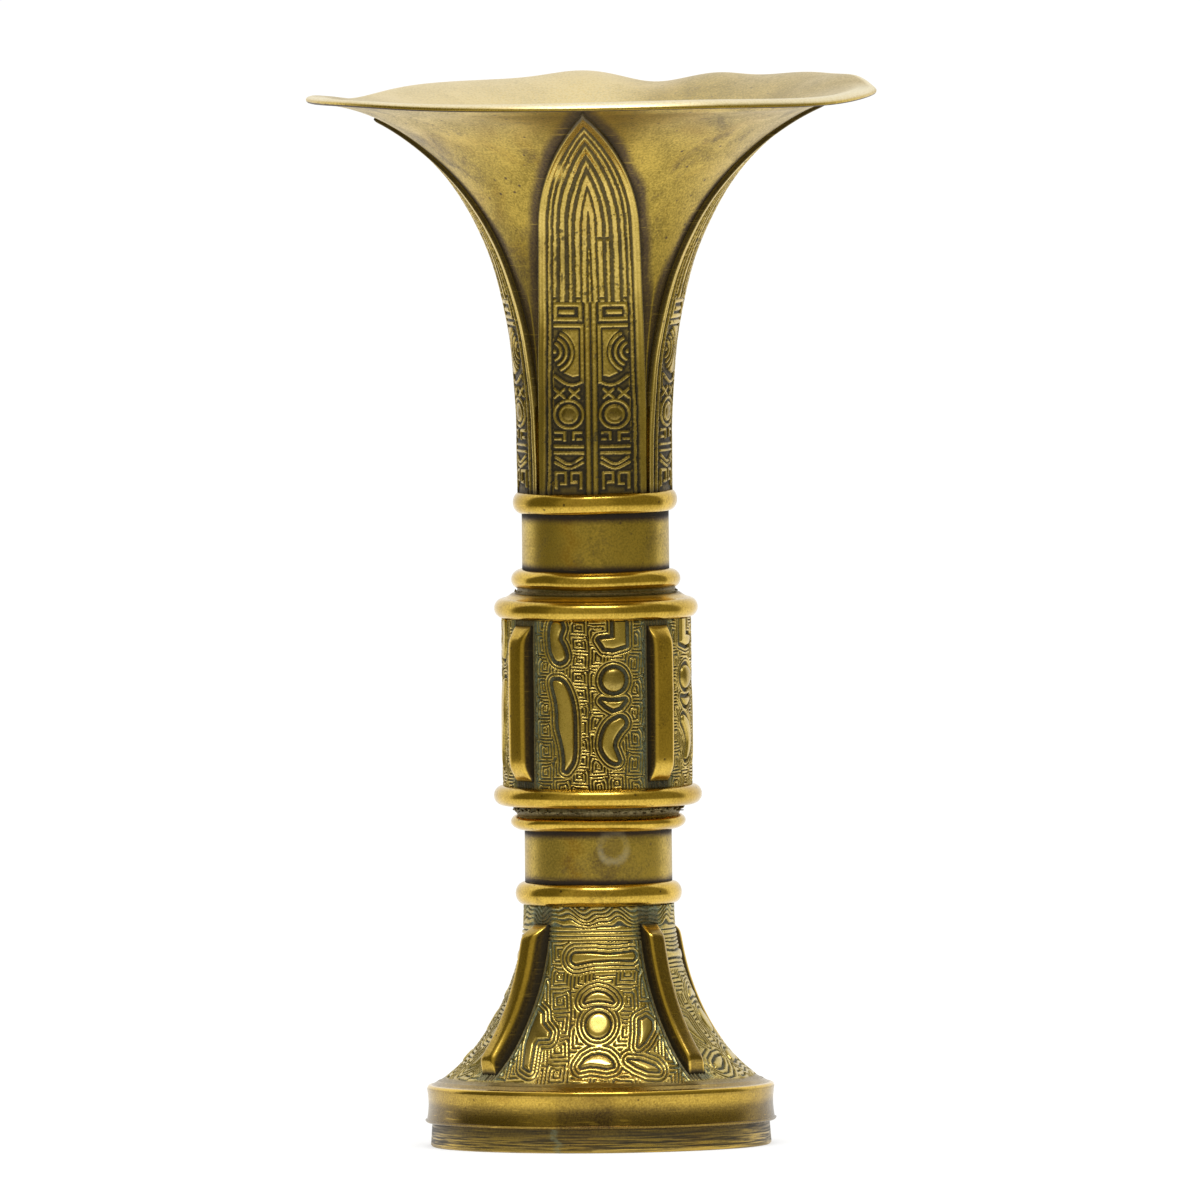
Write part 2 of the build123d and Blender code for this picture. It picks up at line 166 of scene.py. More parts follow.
@dataclass(frozen=True)
class AgedBrass:
    """Cast brass that was polished once: bright metal under a thin film, brown stains and dirt in hollows.

    The film dulls and greens the yellow, stains sit in soft clouds, pits are dark dots, and the dirt of wax
    and soot stays where a cloth doesn't reach. A mesh may carry layers named hollow, stain_and_shade,
    bloom_and_highlight, wear_and_sheen and flush_and_reflection, from 0 to 1; besides dirt, stains, powder,
    wear and a warm tint, pieces use them for painted shade, painted highlights, painted sheen and a painted
    warm reflection.
    """

    finish: Finish
    metal: str = "#D8AF40"
    film: str = "#AD964A"
    # The stain_and_shade colour and the dirt colour also paint the shade that meshes put in their
    # stain_and_shade and hollow layers.
    stain_and_shade: str = "#4E3E28"
    flush_and_reflection: str = "#9C6A24"
    dirt: str = "#14110A"
    bloom_and_highlight: str = "#8F9479"
    film_share: float = 0.6
    mottle: float = 0.3
    flush_share: float = 0.3
    stain_share: float = 0.3
    pit_share: float = 0.35
    shine: float = 0.2
    dull: float = 0.34
    cloud_mm: float = 14.0
    grain_mm: float = 0.5
    pit_mm: float = 2.6
    brush_mm: tuple[float, float, float] = (9.0, 9.0, 0.5)
    roughen_mm: float = 0.012
    bloom_even: float = 0.25
    streaks: float = 0.0
    scratches: float = 0.45

    def material(self) -> bpy.types.Material:
        """Builds the node material of this finish.

        Returns:
            The material, named after its slot.
        """
        made = bpy.data.materials.new(self.finish.value)
        made.use_nodes = True
        tree = made.node_tree
        shader = tree.nodes["Principled BSDF"]
        place = add_node(tree, "ShaderNodeTexCoord").outputs["Object"]
        hollow, stain_and_shade_layer, bloom_and_highlight_layer, rubbed, flush_and_reflection_layer = (
            add_node(tree, "ShaderNodeAttribute", attribute_name=layer).outputs["Fac"]
            for layer in ("hollow", "stain_and_shade", "bloom_and_highlight", "wear_and_sheen", "flush_and_reflection")
        )
        stretch = {"Vector": place, "Scale": tuple(1 / (size * MM) for size in self.brush_mm)}
        brushed = add_node(tree, "ShaderNodeMapping", stretch, vector_type="POINT").outputs["Vector"]
        clouds, grains, strokes = (
            add_node(tree, NOISE, {**sizes, "Roughness": 0.62}).outputs["Color"]
            for sizes in (
                {"Vector": place, "Scale": 1 / (self.cloud_mm * MM), "Detail": 6.0, "Distortion": 0.5},
                {"Vector": place, "Scale": 1 / (self.grain_mm * MM), "Detail": 3.0},
                {"Vector": brushed, "Scale": 1.0, "Detail": 3.0},
            )
        )
        cloud, grain, brush = (
            add_node(tree, "ShaderNodeSeparateColor", (noise,)).outputs for noise in (clouds, grains, strokes)
        )

        # The film lies in clouds and grains, or in streaks where the metal was filed.
        plain = 1 - self.streaks
        lines = add_node(tree, MATH, (brush[1], 1.4 * self.streaks), operation="MULTIPLY").outputs[0]
        fine = add_node(tree, MATH, (grain[0], 0.8 * plain, lines), operation="MULTIPLY_ADD").outputs[0]
        mixed = add_node(tree, MATH, (cloud[0], 0.6 * plain, fine), operation="MULTIPLY_ADD").outputs[0]
        least, most = max(self.film_share - self.mottle, 0.0), min(self.film_share + self.mottle, 1.0)
        film_part = add_node(tree, RANGE, (mixed, 0.56, 0.84, least, most)).outputs[0]

        # A warm flush comes in soft clouds, and a painted warm reflection comes wherever the mesh has it.
        clouded = add_node(tree, RANGE, (cloud[2], 0.53, 0.72, 0.0, self.flush_share)).outputs[0]
        sandy = add_node(tree, RANGE, (grain[0], 0.35, 0.6, 0.4, 1.0)).outputs[0]
        painted_warm_reflection = add_node(tree, MATH, (sandy, flush_and_reflection_layer), operation="MULTIPLY").outputs[0]
        flush_and_reflection_part = add_node(tree, MATH, (clouded, painted_warm_reflection), operation="MAXIMUM").outputs[0]

        # Stains are blots, dots in pits, and the mesh's own stains and painted shade with ragged edges.
        blot = add_node(tree, MATH, (grain[1], 0.3 * plain, lines), operation="MULTIPLY_ADD").outputs[0]
        blot = add_node(tree, MATH, (cloud[1], 0.85 * plain, blot), operation="MULTIPLY_ADD").outputs[0]
        low, high = 0.68 - 0.14 * self.stain_share, 0.86 - 0.2 * self.stain_share
        blotched = add_node(tree, RANGE, (blot, low, high, 0.0, 0.7)).outputs[0]
        dots = {"Vector": place, "Scale": 1 / (self.pit_mm * MM)}
        pits = add_node(tree, "ShaderNodeTexVoronoi", dots).outputs
        few = (pits["Color"], 1.0 - self.pit_share, 1.05 - self.pit_share, 0.0, 0.85)
        chosen = add_node(tree, RANGE, few).outputs[0]
        spot = add_node(tree, RANGE, (pits["Distance"], 0.07, 0.17, 1.0, 0.0)).outputs[0]
        pit_part = add_node(tree, MATH, (spot, chosen), operation="MULTIPLY").outputs[0]
        ragged = add_node(tree, MATH, (grain[2], 0.5, stain_and_shade_layer), operation="MULTIPLY_ADD").outputs[0]
        laid = add_node(tree, RANGE, (ragged, 0.37, 1.13, 0.0, 1.0)).outputs[0]
        stain_and_shade_part = add_node(tree, MATH, (blotched, pit_part), operation="MAXIMUM").outputs[0]
        stain_and_shade_part = add_node(tree, MATH, (stain_and_shade_part, laid), operation="MAXIMUM").outputs[0]

        # Dirt and painted shade fill hollows, bloom is powdery and on some pieces a painted pale highlight,
        # and rubbed places, painted sheen and scratches are bright.
        crusty = add_node(tree, RANGE, (grain[2], 0.3, 0.7, 1.0, 0.86)).outputs[0]
        dirt_and_shade_part = add_node(tree, MATH, (crusty, hollow), operation="MULTIPLY").outputs[0]
        patchy = add_node(tree, RANGE, (grain[1], 0.36, 0.58, self.bloom_even, 1.0)).outputs[0]
        bloom_and_highlight_part = add_node(tree, MATH, (patchy, bloom_and_highlight_layer), operation="MULTIPLY").outputs[0]
        scuffed = add_node(tree, RANGE, (mixed, 0.58, 0.82, 1.0, 0.55)).outputs[0]
        wear_and_sheen_part = add_node(tree, MATH, (scuffed, rubbed), operation="MULTIPLY").outputs[0]
        hairline = add_node(tree, RANGE, (brush[2], 0.62, 0.7, 0.0, self.scratches)).outputs[0]
        wear_and_sheen_part = add_node(tree, MATH, (wear_and_sheen_part, hairline), operation="MAXIMUM").outputs[0]

        # The layers cover the metal in this order.
        colour = linear(self.metal)
        for part, layer in (
            (film_part, self.film),
            (flush_and_reflection_part, self.flush_and_reflection),
            (stain_and_shade_part, self.stain_and_shade),
            (wear_and_sheen_part, self.metal),
            (dirt_and_shade_part, self.dirt),
            (bloom_and_highlight_part, self.bloom_and_highlight),
        ):
            inputs = {0: part, 6: colour, 7: linear(layer)}
            colour = add_node(tree, "ShaderNodeMix", inputs, data_type="RGBA").outputs[2]
        tree.links.new(colour, shader.inputs["Base Color"])

        # Dirt that lies thick, and painted shade as thick, is hardly metallic, and whatever covers the metal
        # makes it rougher.
        crust = add_node(tree, RANGE, (dirt_and_shade_part, 0.25, 1.0, 1.0, 0.4)).outputs[0]
        tree.links.new(crust, shader.inputs["Metallic"])
        powder = add_node(tree, MATH, (bloom_and_highlight_part, 0.6), operation="MULTIPLY").outputs[0]
        covered = add_node(tree, MATH, (dirt_and_shade_part, powder), operation="MAXIMUM").outputs[0]
        rough = add_node(tree, RANGE, (film_part, 0.0, 1.0, self.shine, self.dull)).outputs[0]
        for part, more in ((stain_and_shade_part, 0.1), (covered, 0.3), (wear_and_sheen_part, -0.08)):
            rough = add_node(tree, MATH, (part, more, rough), operation="MULTIPLY_ADD").outputs[0]
        tree.links.new(rough, shader.inputs["Roughness"])

        # Grain, brush marks and pits are felt as well as seen.
        uneven = add_node(tree, MATH, (grain[0], 0.5), operation="MULTIPLY").outputs[0]
        for part, more in ((brush[0], 0.45), (pit_part, -0.6)):
            uneven = add_node(tree, MATH, (part, more, uneven), operation="MULTIPLY_ADD").outputs[0]
        bump = {"Strength": 0.7, "Distance": self.roughen_mm * MM, "Height": uneven}
        tree.links.new(add_node(tree, "ShaderNodeBump", bump).outputs["Normal"], shader.inputs["Normal"])
        return made


FINISHES = (
    # Sandy, half-matt sheet of the neck and sleeves: olive clouds, dark specks and a violet-brown tide mark.
    AgedBrass(
        Finish.SATIN,
        metal="#DABB58",
        film="#97823A",
        # Its stain_and_shade colour also paints shade under the lip and inside the neck, its
        # flush_and_reflection colour a painted warm reflection on the sleeves, and its bloom_and_highlight
        # colour a painted pale highlight on the lip and painted sheen inside.
        stain_and_shade="#54463D",
        flush_and_reflection="#A37A22",
        bloom_and_highlight="#F8EFD2",
        film_share=0.7,
        mottle=0.5,
        stain_share=0.5,
        pit_share=0.5,
        shine=0.27,
        dull=0.43,
        grain_mm=0.55,
        pit_mm=3.2,
        roughen_mm=0.03,
        bloom_even=0.7,
    ),
    # Beads, rings and flanges that hands keep bright: clear gold with a thin brown skin.
    AgedBrass(
        Finish.POLISHED,
        metal="#E8C256",
        film="#AC8D31",
        film_share=0.42,
        mottle=0.36,
        stain_share=0.14,
        pit_share=0.4,
        shine=0.12,
        dull=0.25,
        roughen_mm=0.026,
    ),
    # Chased work: ridges rubbed pale over grooves full of black wax, and chalky green beside the flanges.
    AgedBrass(
        Finish.CHASED,
        metal="#ECCE74",
        film="#A9923F",
        bloom_and_highlight="#7E886E",
        dirt="#17120A",
        stain_share=0.2,
        pit_share=0.25,
        shine=0.16,
        dull=0.33,
    ),
    # The foot ring, filed lengthwise: dark streaks with gold where it has rubbed on shelves.
    AgedBrass(
        Finish.BASE,
        metal="#D2B052",
        film="#6E6450",
        stain_and_shade="#3A342B",
        film_share=0.7,
        mottle=0.55,
        stain_share=0.6,
        shine=0.22,
        dull=0.42,
        brush_mm=(14.0, 14.0, 0.42),
        roughen_mm=0.03,
        streaks=0.75,
    ),
    # Solder: grey-olive, rough and dirty.
    AgedBrass(
        Finish.SOLDER,
        metal="#A2946A",
        film="#5E553C",
        bloom_and_highlight="#B9AE88",
        stain_share=0.5,
        shine=0.35,
        dull=0.55,
    ),
    # The cup's floor, never polished: flat and brown.
    AgedBrass(Finish.INNER, film="#A8935A", film_share=0.8, stain_share=0.6, shine=0.35, dull=0.5),
)
MATERIALS: dict[Finish, bpy.types.Material] = {}


def settle(piece: bpy.types.Object, finish: Finish, *nodes: str) -> None:
    """Gives a piece its finish, its body and the CAD nodes that it stands for.

    Args:
        piece: the finished object.
        finish: the slot it takes its material from.
        nodes: the nodes that it replaces.
    """
    piece.data.materials.clear()
    piece.data.materials.append(MATERIALS[finish])
    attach(piece, BODY)
    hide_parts(*nodes)
    log.info("%s: %d faces", piece.name, len(piece.data.polygons))


def placed(name: str, data: bpy.types.ID) -> bpy.types.Object:
    """Puts an object into the scene.

    Args:
        name: the object's name.
        data: its mesh, lamp or camera.

    Returns:
        The object.
    """
    made = bpy.data.objects.new(name, data)
    bpy.context.collection.objects.link(made)
    return made


def run_lengths(radius: np.ndarray, level: np.ndarray) -> np.ndarray:
    """How far along a line each of its points is."""
    return np.concatenate([[0.0], np.cumsum(np.hypot(np.diff(radius), np.diff(level)))])


def running_share(points: np.ndarray, axis: int, closed: bool) -> np.ndarray:
    """How far along an axis of a grid of points each line is, from 0 to 1, by mean length.

    Args:
        points: the grid, shaped (rows, points of a row, 3).
        axis: 0 from row to row, or 1 along the rows.
        closed: whether the last line joins the first.

    Returns:
        A share for each line of the grid, and for the first line again where it is closed.
    """
    ring = np.concatenate([points, points.take([0], axis)], axis) if closed else points
    steps = np.linalg.norm(np.diff(ring, axis=axis), axis=-1).mean(axis=1 - axis)
    total = np.concatenate([[0.0], np.cumsum(steps)])
    return total / total[-1]


def skin(
    name: str, rows: np.ndarray, wrap: bool, layers: Layers | None = None, crease: float = 50.0
) -> bpy.types.Object:
    """Joins rows of points, each row a closed loop, into one closed mesh.

    Args:
        name: the object's name.
        rows: points in millimetres, shaped (rows, points of a loop, 3).
        wrap: whether the last row joins the first; otherwise both ends are capped.
        layers: values from 0 to 1 for the finish, each shaped (rows, points of a loop).
        crease: the angle in degrees past which an edge stays sharp.

    Returns:
        The object, with a map of the grid for its textures.
    """
    count, loop = rows.shape[:2]
    row, column = np.meshgrid(np.arange(count if wrap else count - 1), np.arange(loop), indexing="ij")
    next_row, next_column = (row + 1) % count, (column + 1) % loop
    corners = [(row, column), (row, next_column), (next_row, next_column), (next_row, column)]
    quads = np.stack([r * loop + c for r, c in corners], -1).reshape(-1, 4)
    along, round_loop = running_share(rows, 0, wrap), GRID_SHARE * running_share(rows, 1, True)
    u = np.stack([round_loop[column + step] for step in (0, 1, 1, 0)], -1).reshape(-1, 4)
    v = np.stack([along[row + step] for step in (0, 0, 1, 1)], -1).reshape(-1, 4)
    caps, cap_uv = [], []
    points = rows.reshape(-1, 3)
    if not wrap:
        caps = [np.arange(loop)[::-1], np.arange(loop) + (count - 1) * loop]
        for place, cap in enumerate(caps):
            flat = points[cap] - points[cap].mean(0)
            flat = flat @ np.linalg.svd(flat, full_matrices=False)[2][:2].T
            flat = (flat - flat.min(0)) / np.ptp(flat, axis=0).max()
            cap_uv.append(flat[:, ::-1] * CAP_SIZE + CAP_CORNERS[place])
    # A volume below 0 means that the faces point inwards.
    middle = points - points.mean(0)
    first, second, third, fourth = (middle[quads[:, k]] for k in range(4))
    volume = (first * np.cross(second, third)).sum() + (first * np.cross(third, fourth)).sum()
    faces, grid_uv = [*quads, *caps], np.stack([u, v], -1)
    if volume < 0:
        faces = [face[::-1] for face in faces]
        grid_uv = grid_uv[:, ::-1]
        cap_uv = [pair[::-1] for pair in cap_uv]

    mesh = bpy.data.meshes.new(name)
    mesh.from_pydata((points * MM).tolist(), [], [face.tolist() for face in faces])
    uv = np.concatenate([grid_uv.reshape(-1, 2), *cap_uv])
    mesh.uv_layers.new(name=UV_MAP).data.foreach_set("uv", uv.ravel())
    for layer, values in (layers or {}).items():
        held = mesh.attributes.new(layer, "FLOAT", "POINT").data
        held.foreach_set("value", values.astype(np.float32).ravel())
    mesh.shade_smooth()
    mesh.set_sharp_from_angle(angle=math.radians(crease))
    return placed(name, mesh)


def around(radius: np.ndarray, level: np.ndarray, angle: np.ndarray) -> np.ndarray:
    """Points at a radius and height, facing an azimuth in radians."""
    return np.stack(np.broadcast_arrays(radius * np.sin(angle), -radius * np.cos(angle), level), -1)


def turned(
    name: str, profile: np.ndarray, uneven: float, seed: int, marks: Callable[..., Layers] | None = None
) -> bpy.types.Object:
    """Turns a closed profile round the axis, a little out of true.

    Args:
        name: the object's name.
        profile: radius and height of each point, in order round the section.
        uneven: how far the surface strays, in millimetres.
        seed: which of the uneven shapes it is.
        marks: works out values for the finish from azimuths, radii and levels.

    Returns:
        The object.
    """
    angle = np.linspace(0, TURN, TURNED_STEPS, endpoint=False)[:, None]
    radius, level = profile[None, :, 0], profile[None, :, 1]
    lift = waver(angle, 0 * level, seed + 1, uneven / 2)
    points = around(radius + waver(angle, level, seed, uneven), level + lift, angle)
    points[..., 2] = np.maximum(points[..., 2], 0.0)
    blank = np.zeros(points.shape[:2])
    layers = marks(angle + blank, radius + blank, level + blank) if marks else None
    return skin(name, points, True, layers)


def polyline(corners: list[tuple[float, float]], spacing: float) -> np.ndarray:
    """Points no further apart than a spacing along a closed run of straight lines.

    Args:
        corners: radius and height of each corner, in order.
        spacing: the greatest distance between two points.

    Returns:
        Radius and height of each point.
    """
    found = []
    for (r0, z0), (r1, z1) in zip(corners, corners[1:] + corners[:1]):
        steps = max(1, math.ceil(math.hypot(r1 - r0, z1 - z0) / spacing))
        found += [(r0 + (r1 - r0) * step / steps, z0 + (z1 - z0) * step / steps) for step in range(steps)]
    return np.array(found)


def span(node: str) -> tuple[float, float, float]:
    """The lowest level, highest level and greatest radius of a turned CAD node."""
    low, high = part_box(node)
    return low[2] / MM, high[2] / MM, high[0] / MM


@dataclass(frozen=True)
class WallLine:
    """A line down a wall: the radius, level and outward direction at each of its points."""

    radius: np.ndarray
    level: np.ndarray
    out_radius: np.ndarray
    out_level: np.ndarray

    def offset(self, distance: np.ndarray) -> tuple[np.ndarray, np.ndarray]:
        """Radius and level of points at a distance square to the wall."""
        return self.radius + distance * self.out_radius, self.level + distance * self.out_level


@dataclass(frozen=True)
class Flare:
    """The outside of a wall that leaves its root straight and spreads to a level mouth."""

    root_radius: float
    root_z: float
    mouth_radius: float
    mouth_z: float
    rise: float
    spread: float

    def line(self, start_z: float, end_z: float, count: int) -> WallLine:
        """Evenly spaced points along the wall between two heights, inside it.

        Args:
            start_z: the height of the first point.
            end_z: the height of the last point.
            count: how many points.

        Returns:
            The line, with directions away from the axis side.
        """
        closer_at_root = np.linspace(0, 1, FLARE_STEPS) ** 1.5
        turn = math.pi / 2 * closer_at_root
        wider, higher = self.mouth_radius - self.root_radius, self.mouth_z - self.root_z
        radius = self.root_radius + wider * (1 - np.cos(turn).clip(0) ** self.spread)
        level = self.root_z + higher * np.sin(turn) ** self.rise
        length = run_lengths(radius, level)
        sign = np.sign(self.mouth_z - self.root_z)
        ends = np.interp([sign * start_z, sign * end_z], sign * level, length)
        even = np.linspace(*ends, count)
        slope_r, slope_z = np.gradient(radius, length), np.gradient(level, length)
        parts = (radius, level, sign * slope_z, -sign * slope_r)
        line_r, line_z, out_r, out_z = (np.interp(even, length, part) for part in parts)
        size = np.hypot(out_r, out_z)
        return WallLine(line_r, line_z, out_r / size, out_z / size)


COLLAR_RADIUS = 18.4
BORE_RADIUS = 16.4
SPIGOT_RADIUS = 17.35
NECK_ROOT_Z = 163.4
MOUTH_RADIUS = 71.4
MOUTH_Z = 261.8
FOOT_ROOT_RADIUS = 18.7
FOOT_BASE_RADIUS = 40.55
FOOT_TOP_Z = 60.3
FOOT_BASE_Z = 16.4
NECK_FLARE = Flare(COLLAR_RADIUS, NECK_ROOT_Z, MOUTH_RADIUS, MOUTH_Z, rise=0.667, spread=1.05)
FOOT_FLARE = Flare(FOOT_ROOT_RADIUS, FOOT_TOP_Z, FOOT_BASE_RADIUS, FOOT_BASE_Z, rise=1.0, spread=1.6)


Knot = tuple[float, float, float]


def beside_line(
    across: np.ndarray, level: np.ndarray, start: Knot, end: Knot
) -> tuple[np.ndarray, np.ndarray, np.ndarray]:
    """Finds the nearest place on a straight line between two knots.

    Args:
        across: distance across the panel.
        level: height on the panel.
        start: the first knot.
        end: the last knot.

    Returns:
        How far along the line that place is, from 0 to 1, and the gaps to it across and upwards.
    """
    x, z, dx, dz = start[0], start[1], end[0] - start[0], end[1] - start[1]
    part = np.clip(((across - x) * dx + (level - z) * dz) / max(dx * dx + dz * dz, 1e-9), 0, 1)
    return part, np.abs(across - x - part * dx), np.abs(level - z - part * dz)


class MotifShape(Enum):
    """How a raised figure of the mask is drawn."""

    STROKE = "a tapering stroke"
    BAR = "a stroke with square ends"
    PLATE = "a flat figure from corner to corner"


@dataclass(frozen=True)
class Motif:
    """A raised figure of the mask, from knots of (across, height, half width) on its panel."""

    shape: MotifShape
    knots: tuple[Knot, ...]
    rise: float = 0.4
    shoulder: float = 0.5
    tarnish: float = 0.0

    def path(self) -> np.ndarray:
        """The knots, with points between them on a smooth curve where it is a stroke.

        Returns:
            Across, height and half width of each point.
        """
        knots = np.array(self.knots, dtype=float)
        if self.shape is not MotifShape.STROKE or len(knots) < 3:
            return knots
        ends = np.vstack([2 * knots[0] - knots[1], knots, 2 * knots[-1] - knots[-2]])
        found = []
        for place in range(1, len(ends) - 2):
            a, b, c, d = ends[place - 1 : place + 3]
            for part in np.linspace(0, 1, 5, endpoint=False):
                found.append(
                    b
                    + 0.5 * part * (c - a)
                    + part**2 * (a - 2.5 * b + 2 * c - 0.5 * d)
                    + 0.5 * part**3 * (3 * (b - c) + d - a)
                )
        return np.vstack([found, knots[-1:]])

    def outline_distance(self, across: np.ndarray, level: np.ndarray) -> np.ndarray:
        """How far places are outside a figure that is given by its corners.

        Args:
            across: distance across the panel.
            level: height on the panel.

        Returns:
            Distances, less than 0 inside the figure.
        """
        best = np.full(across.shape, np.inf)
        inside = np.zeros(across.shape, dtype=bool)
        for start, end in zip(self.knots, self.knots[1:] + self.knots[:1]):
            best = np.minimum(best, np.hypot(*beside_line(across, level, start, end)[1:]))
            (x0, z0, _), (x1, z1, _) = start, end
            crossed = (z0 > level) != (z1 > level)
            inside ^= crossed & (across < x0 + (level - z0) * (x1 - x0) / ((z1 - z0) or 1e-9))
        return np.where(inside, -best, best)

    def distance(self, across: np.ndarray, level: np.ndarray) -> np.ndarray:
        """How far places are outside the figure, less than 0 inside it.

        Args:
            across: distance across the panel.
            level: height on the panel.

        Returns:
            A distance for each place.
        """
        if self.shape is MotifShape.PLATE:
            return self.outline_distance(across, level)
        path = self.path()
        best = np.full(across.shape, np.inf)
        measure = np.maximum if self.shape is MotifShape.BAR else np.hypot
        for start, end in zip(path, path[1:] if len(path) > 1 else path):
            part, gap_across, gap_up = beside_line(across, level, start, end)
            half = start[2] + part * (end[2] - start[2])
            best = np.minimum(best, measure(gap_across, gap_up) - half)
        return best


def plate(
    *corners: tuple[float, float], rise: float = 0.4, shoulder: float = 0.5, tarnish: float = 0.0
) -> Motif:
    """A flat figure from corner to corner."""
    return Motif(MotifShape.PLATE, tuple((x, z, 0.0) for x, z in corners), rise, shoulder, tarnish)


def stroke(
    *knots: Knot, rise: float = 0.4, shoulder: float = 0.5, tarnish: float = 0.0
) -> Motif:
    """A tapering stroke through its knots."""
    return Motif(MotifShape.STROKE, knots, rise, shoulder, tarnish)


@dataclass(frozen=True)
class ThunderGround:
    """The ground of square spirals between the figures, of ridges that follow whatever they run beside."""

    pitch: float = 0.82
    cell: float = 4.7
    seed: int = 5

    def phase(self, across: np.ndarray, level: np.ndarray) -> tuple[np.ndarray, np.ndarray]:
        """Lays the spirals out in uneven columns of cells.

        Args:
            across: distance across the panel.
            level: height on the panel.

        Returns:
            How far inside its cell each place is, and the step from ring to ring that makes a spiral.
        """
        draw = np.random.default_rng(self.seed)
        shifted = across + 0.16 * np.sin(0.5 * level + 0.3)
        column = np.floor(shifted / self.cell).astype(int)
        local = shifted - (column + 0.5) * self.cell
        heights = self.cell * draw.uniform(0.85, 1.4, 41)[column + 20]
        starts = draw.uniform(0, self.cell, 41)[column + 20]
        wavy = level + 0.12 * np.sin(0.5 * across + 1.0)
        row = np.floor((wavy + starts) / heights)
        height = wavy + starts - (row + 0.5) * heights
        inside = np.minimum(self.cell / 2 - np.abs(local), heights / 2 - np.abs(height))
        side = np.where((row + column) % 2 == 0, 1.0, -1.0)
        angle = np.arctan2(height / heights, side * local / self.cell)
        return inside, eased(math.pi / 4 - 0.4, math.pi / 4 + 0.4, angle)


@dataclass(frozen=True)
class ChasedPanel:
    """One panel of the mask between two flanges: raised figures, each in a moat, on a ground of ridges."""

    motifs: tuple[Motif, ...]
    ground: ThunderGround
    moat: float = 0.85
    depth: float = 0.55
    floor: float = -0.36
    crest: float = 0.16
    duty: tuple[float, float] = (0.22, 0.6)
    rings: float = 2.0
    rubbed: float = 0.9

    def carve(
        self, across: np.ndarray, level: np.ndarray, beside: np.ndarray, streams: np.ndarray | None = None
    ) -> tuple[np.ndarray, Layers]:
        """Works out the relief.

        Args:
            across: distance across the panel from its middle.
            level: height on the panel.
            beside: distance from the nearest flange.
            streams: where given, a level count of flowing lines that replaces the ground above 0.

        Returns:
            The height off the wall, and the finish's layers.
        """
        nearest = np.full(across.shape, np.inf)
        boss, stain_and_shade = np.zeros(across.shape), np.zeros(across.shape)
        for motif in self.motifs:
            distance = motif.distance(across, level)
            swell = np.clip(-distance / motif.shoulder, 0, 1)
            crown = 0.35 * (1 - (1 - np.clip(-distance / 2.2, 0, 1)) ** 2)
            boss = np.maximum(boss, motif.rise * (np.sqrt(1 - (1 - swell) ** 2) + crown))
            nearest = np.minimum(nearest, distance)
            stain_and_shade = np.maximum(stain_and_shade, motif.tarnish * eased(0.0, 0.5, -distance))
        inside, step = self.ground.phase(across, level)
        clear = np.minimum(nearest - self.moat, beside - 0.5)
        reach = self.rings * self.ground.pitch
        ringed = nearest - self.moat < reach - 0.3 * self.ground.pitch
        follows = clear < np.maximum(inside, reach * ringed)
        turns = np.where(follows, clear, inside) / self.ground.pitch
        turns = turns - np.where(follows, 0.0, step)
        if streams is not None:
            flowing = (streams > 0) & (nearest > self.moat + 0.9 * self.ground.pitch)
            turns = np.where(flowing, streams, turns)
        ridge = eased(*self.duty, 0.5 - 0.5 * np.cos(TURN * turns))
        rough = clumped(np.random.default_rng(self.ground.seed).normal(0, 1, across.shape), 1, 4)
        patchy = 0.86 + 0.14 * np.sin(0.31 * across + 1.0) * np.sin(0.23 * level)
        ground = self.floor + (self.crest - self.floor) * ridge * patchy + 0.022 * rough
        moat = -self.depth * eased(0.0, 0.22, nearest) + 0.015 * rough
        height = np.where(nearest < self.moat, np.where(nearest < 0, boss, moat), ground)
        hollow = (1 - eased(self.floor + 0.08, self.crest - 0.12, height)) * (nearest > 0)
        bank = eased(1.5, 0.1, beside)
        powder = 0.8 * eased(3.2, 1.0, beside) * (1 - bank)
        bloom_and_highlight = np.clip(powder + 0.45 * hollow * eased(13.0, 2.5, beside), 0, 1)
        polished = self.rubbed * eased(0.0, 0.4, -nearest) + eased(0.0, self.crest, height) * (nearest > 0)
        wear_and_sheen = 0.85 * np.clip(polished, 0, 1) * (1 - stain_and_shade)
        layers = {"hollow": np.maximum(hollow, 0.9 * bank), "stain_and_shade": stain_and_shade, "bloom_and_highlight": bloom_and_highlight, "wear_and_sheen": wear_and_sheen}
        return height, layers


def relief(
    name: str, wall: WallLine, angle: np.ndarray, height: np.ndarray, layers: Layers, thickness: float
) -> bpy.types.Object:
    """A panel of wall with a relief on its outside.

    Args:
        name: the object's name.
        wall: the line down the wall.
        angle: the azimuth of each column, in radians.
        height: the relief, shaped (columns, points of the line).
        layers: values for the finish, shaped like the relief.
        thickness: of the wall behind it.

    Returns:
        The object.
    """
    turn = angle[:, None]
    front = around(*wall.offset(height), turn)
    back_points = np.unique(np.linspace(0, len(wall.radius) - 1, 12).astype(int))[::-1]
    back_r, back_z = (part[back_points] for part in wall.offset(np.full(len(wall.radius), -thickness)))
    back = around(back_r[None, :], back_z[None, :], turn)
    blank = np.zeros(back.shape[:2])
    spread = {key: np.concatenate([values, blank], 1) for key, values in layers.items()}
    return skin(name, np.concatenate([front, back], 1), False, spread, crease=75.0)


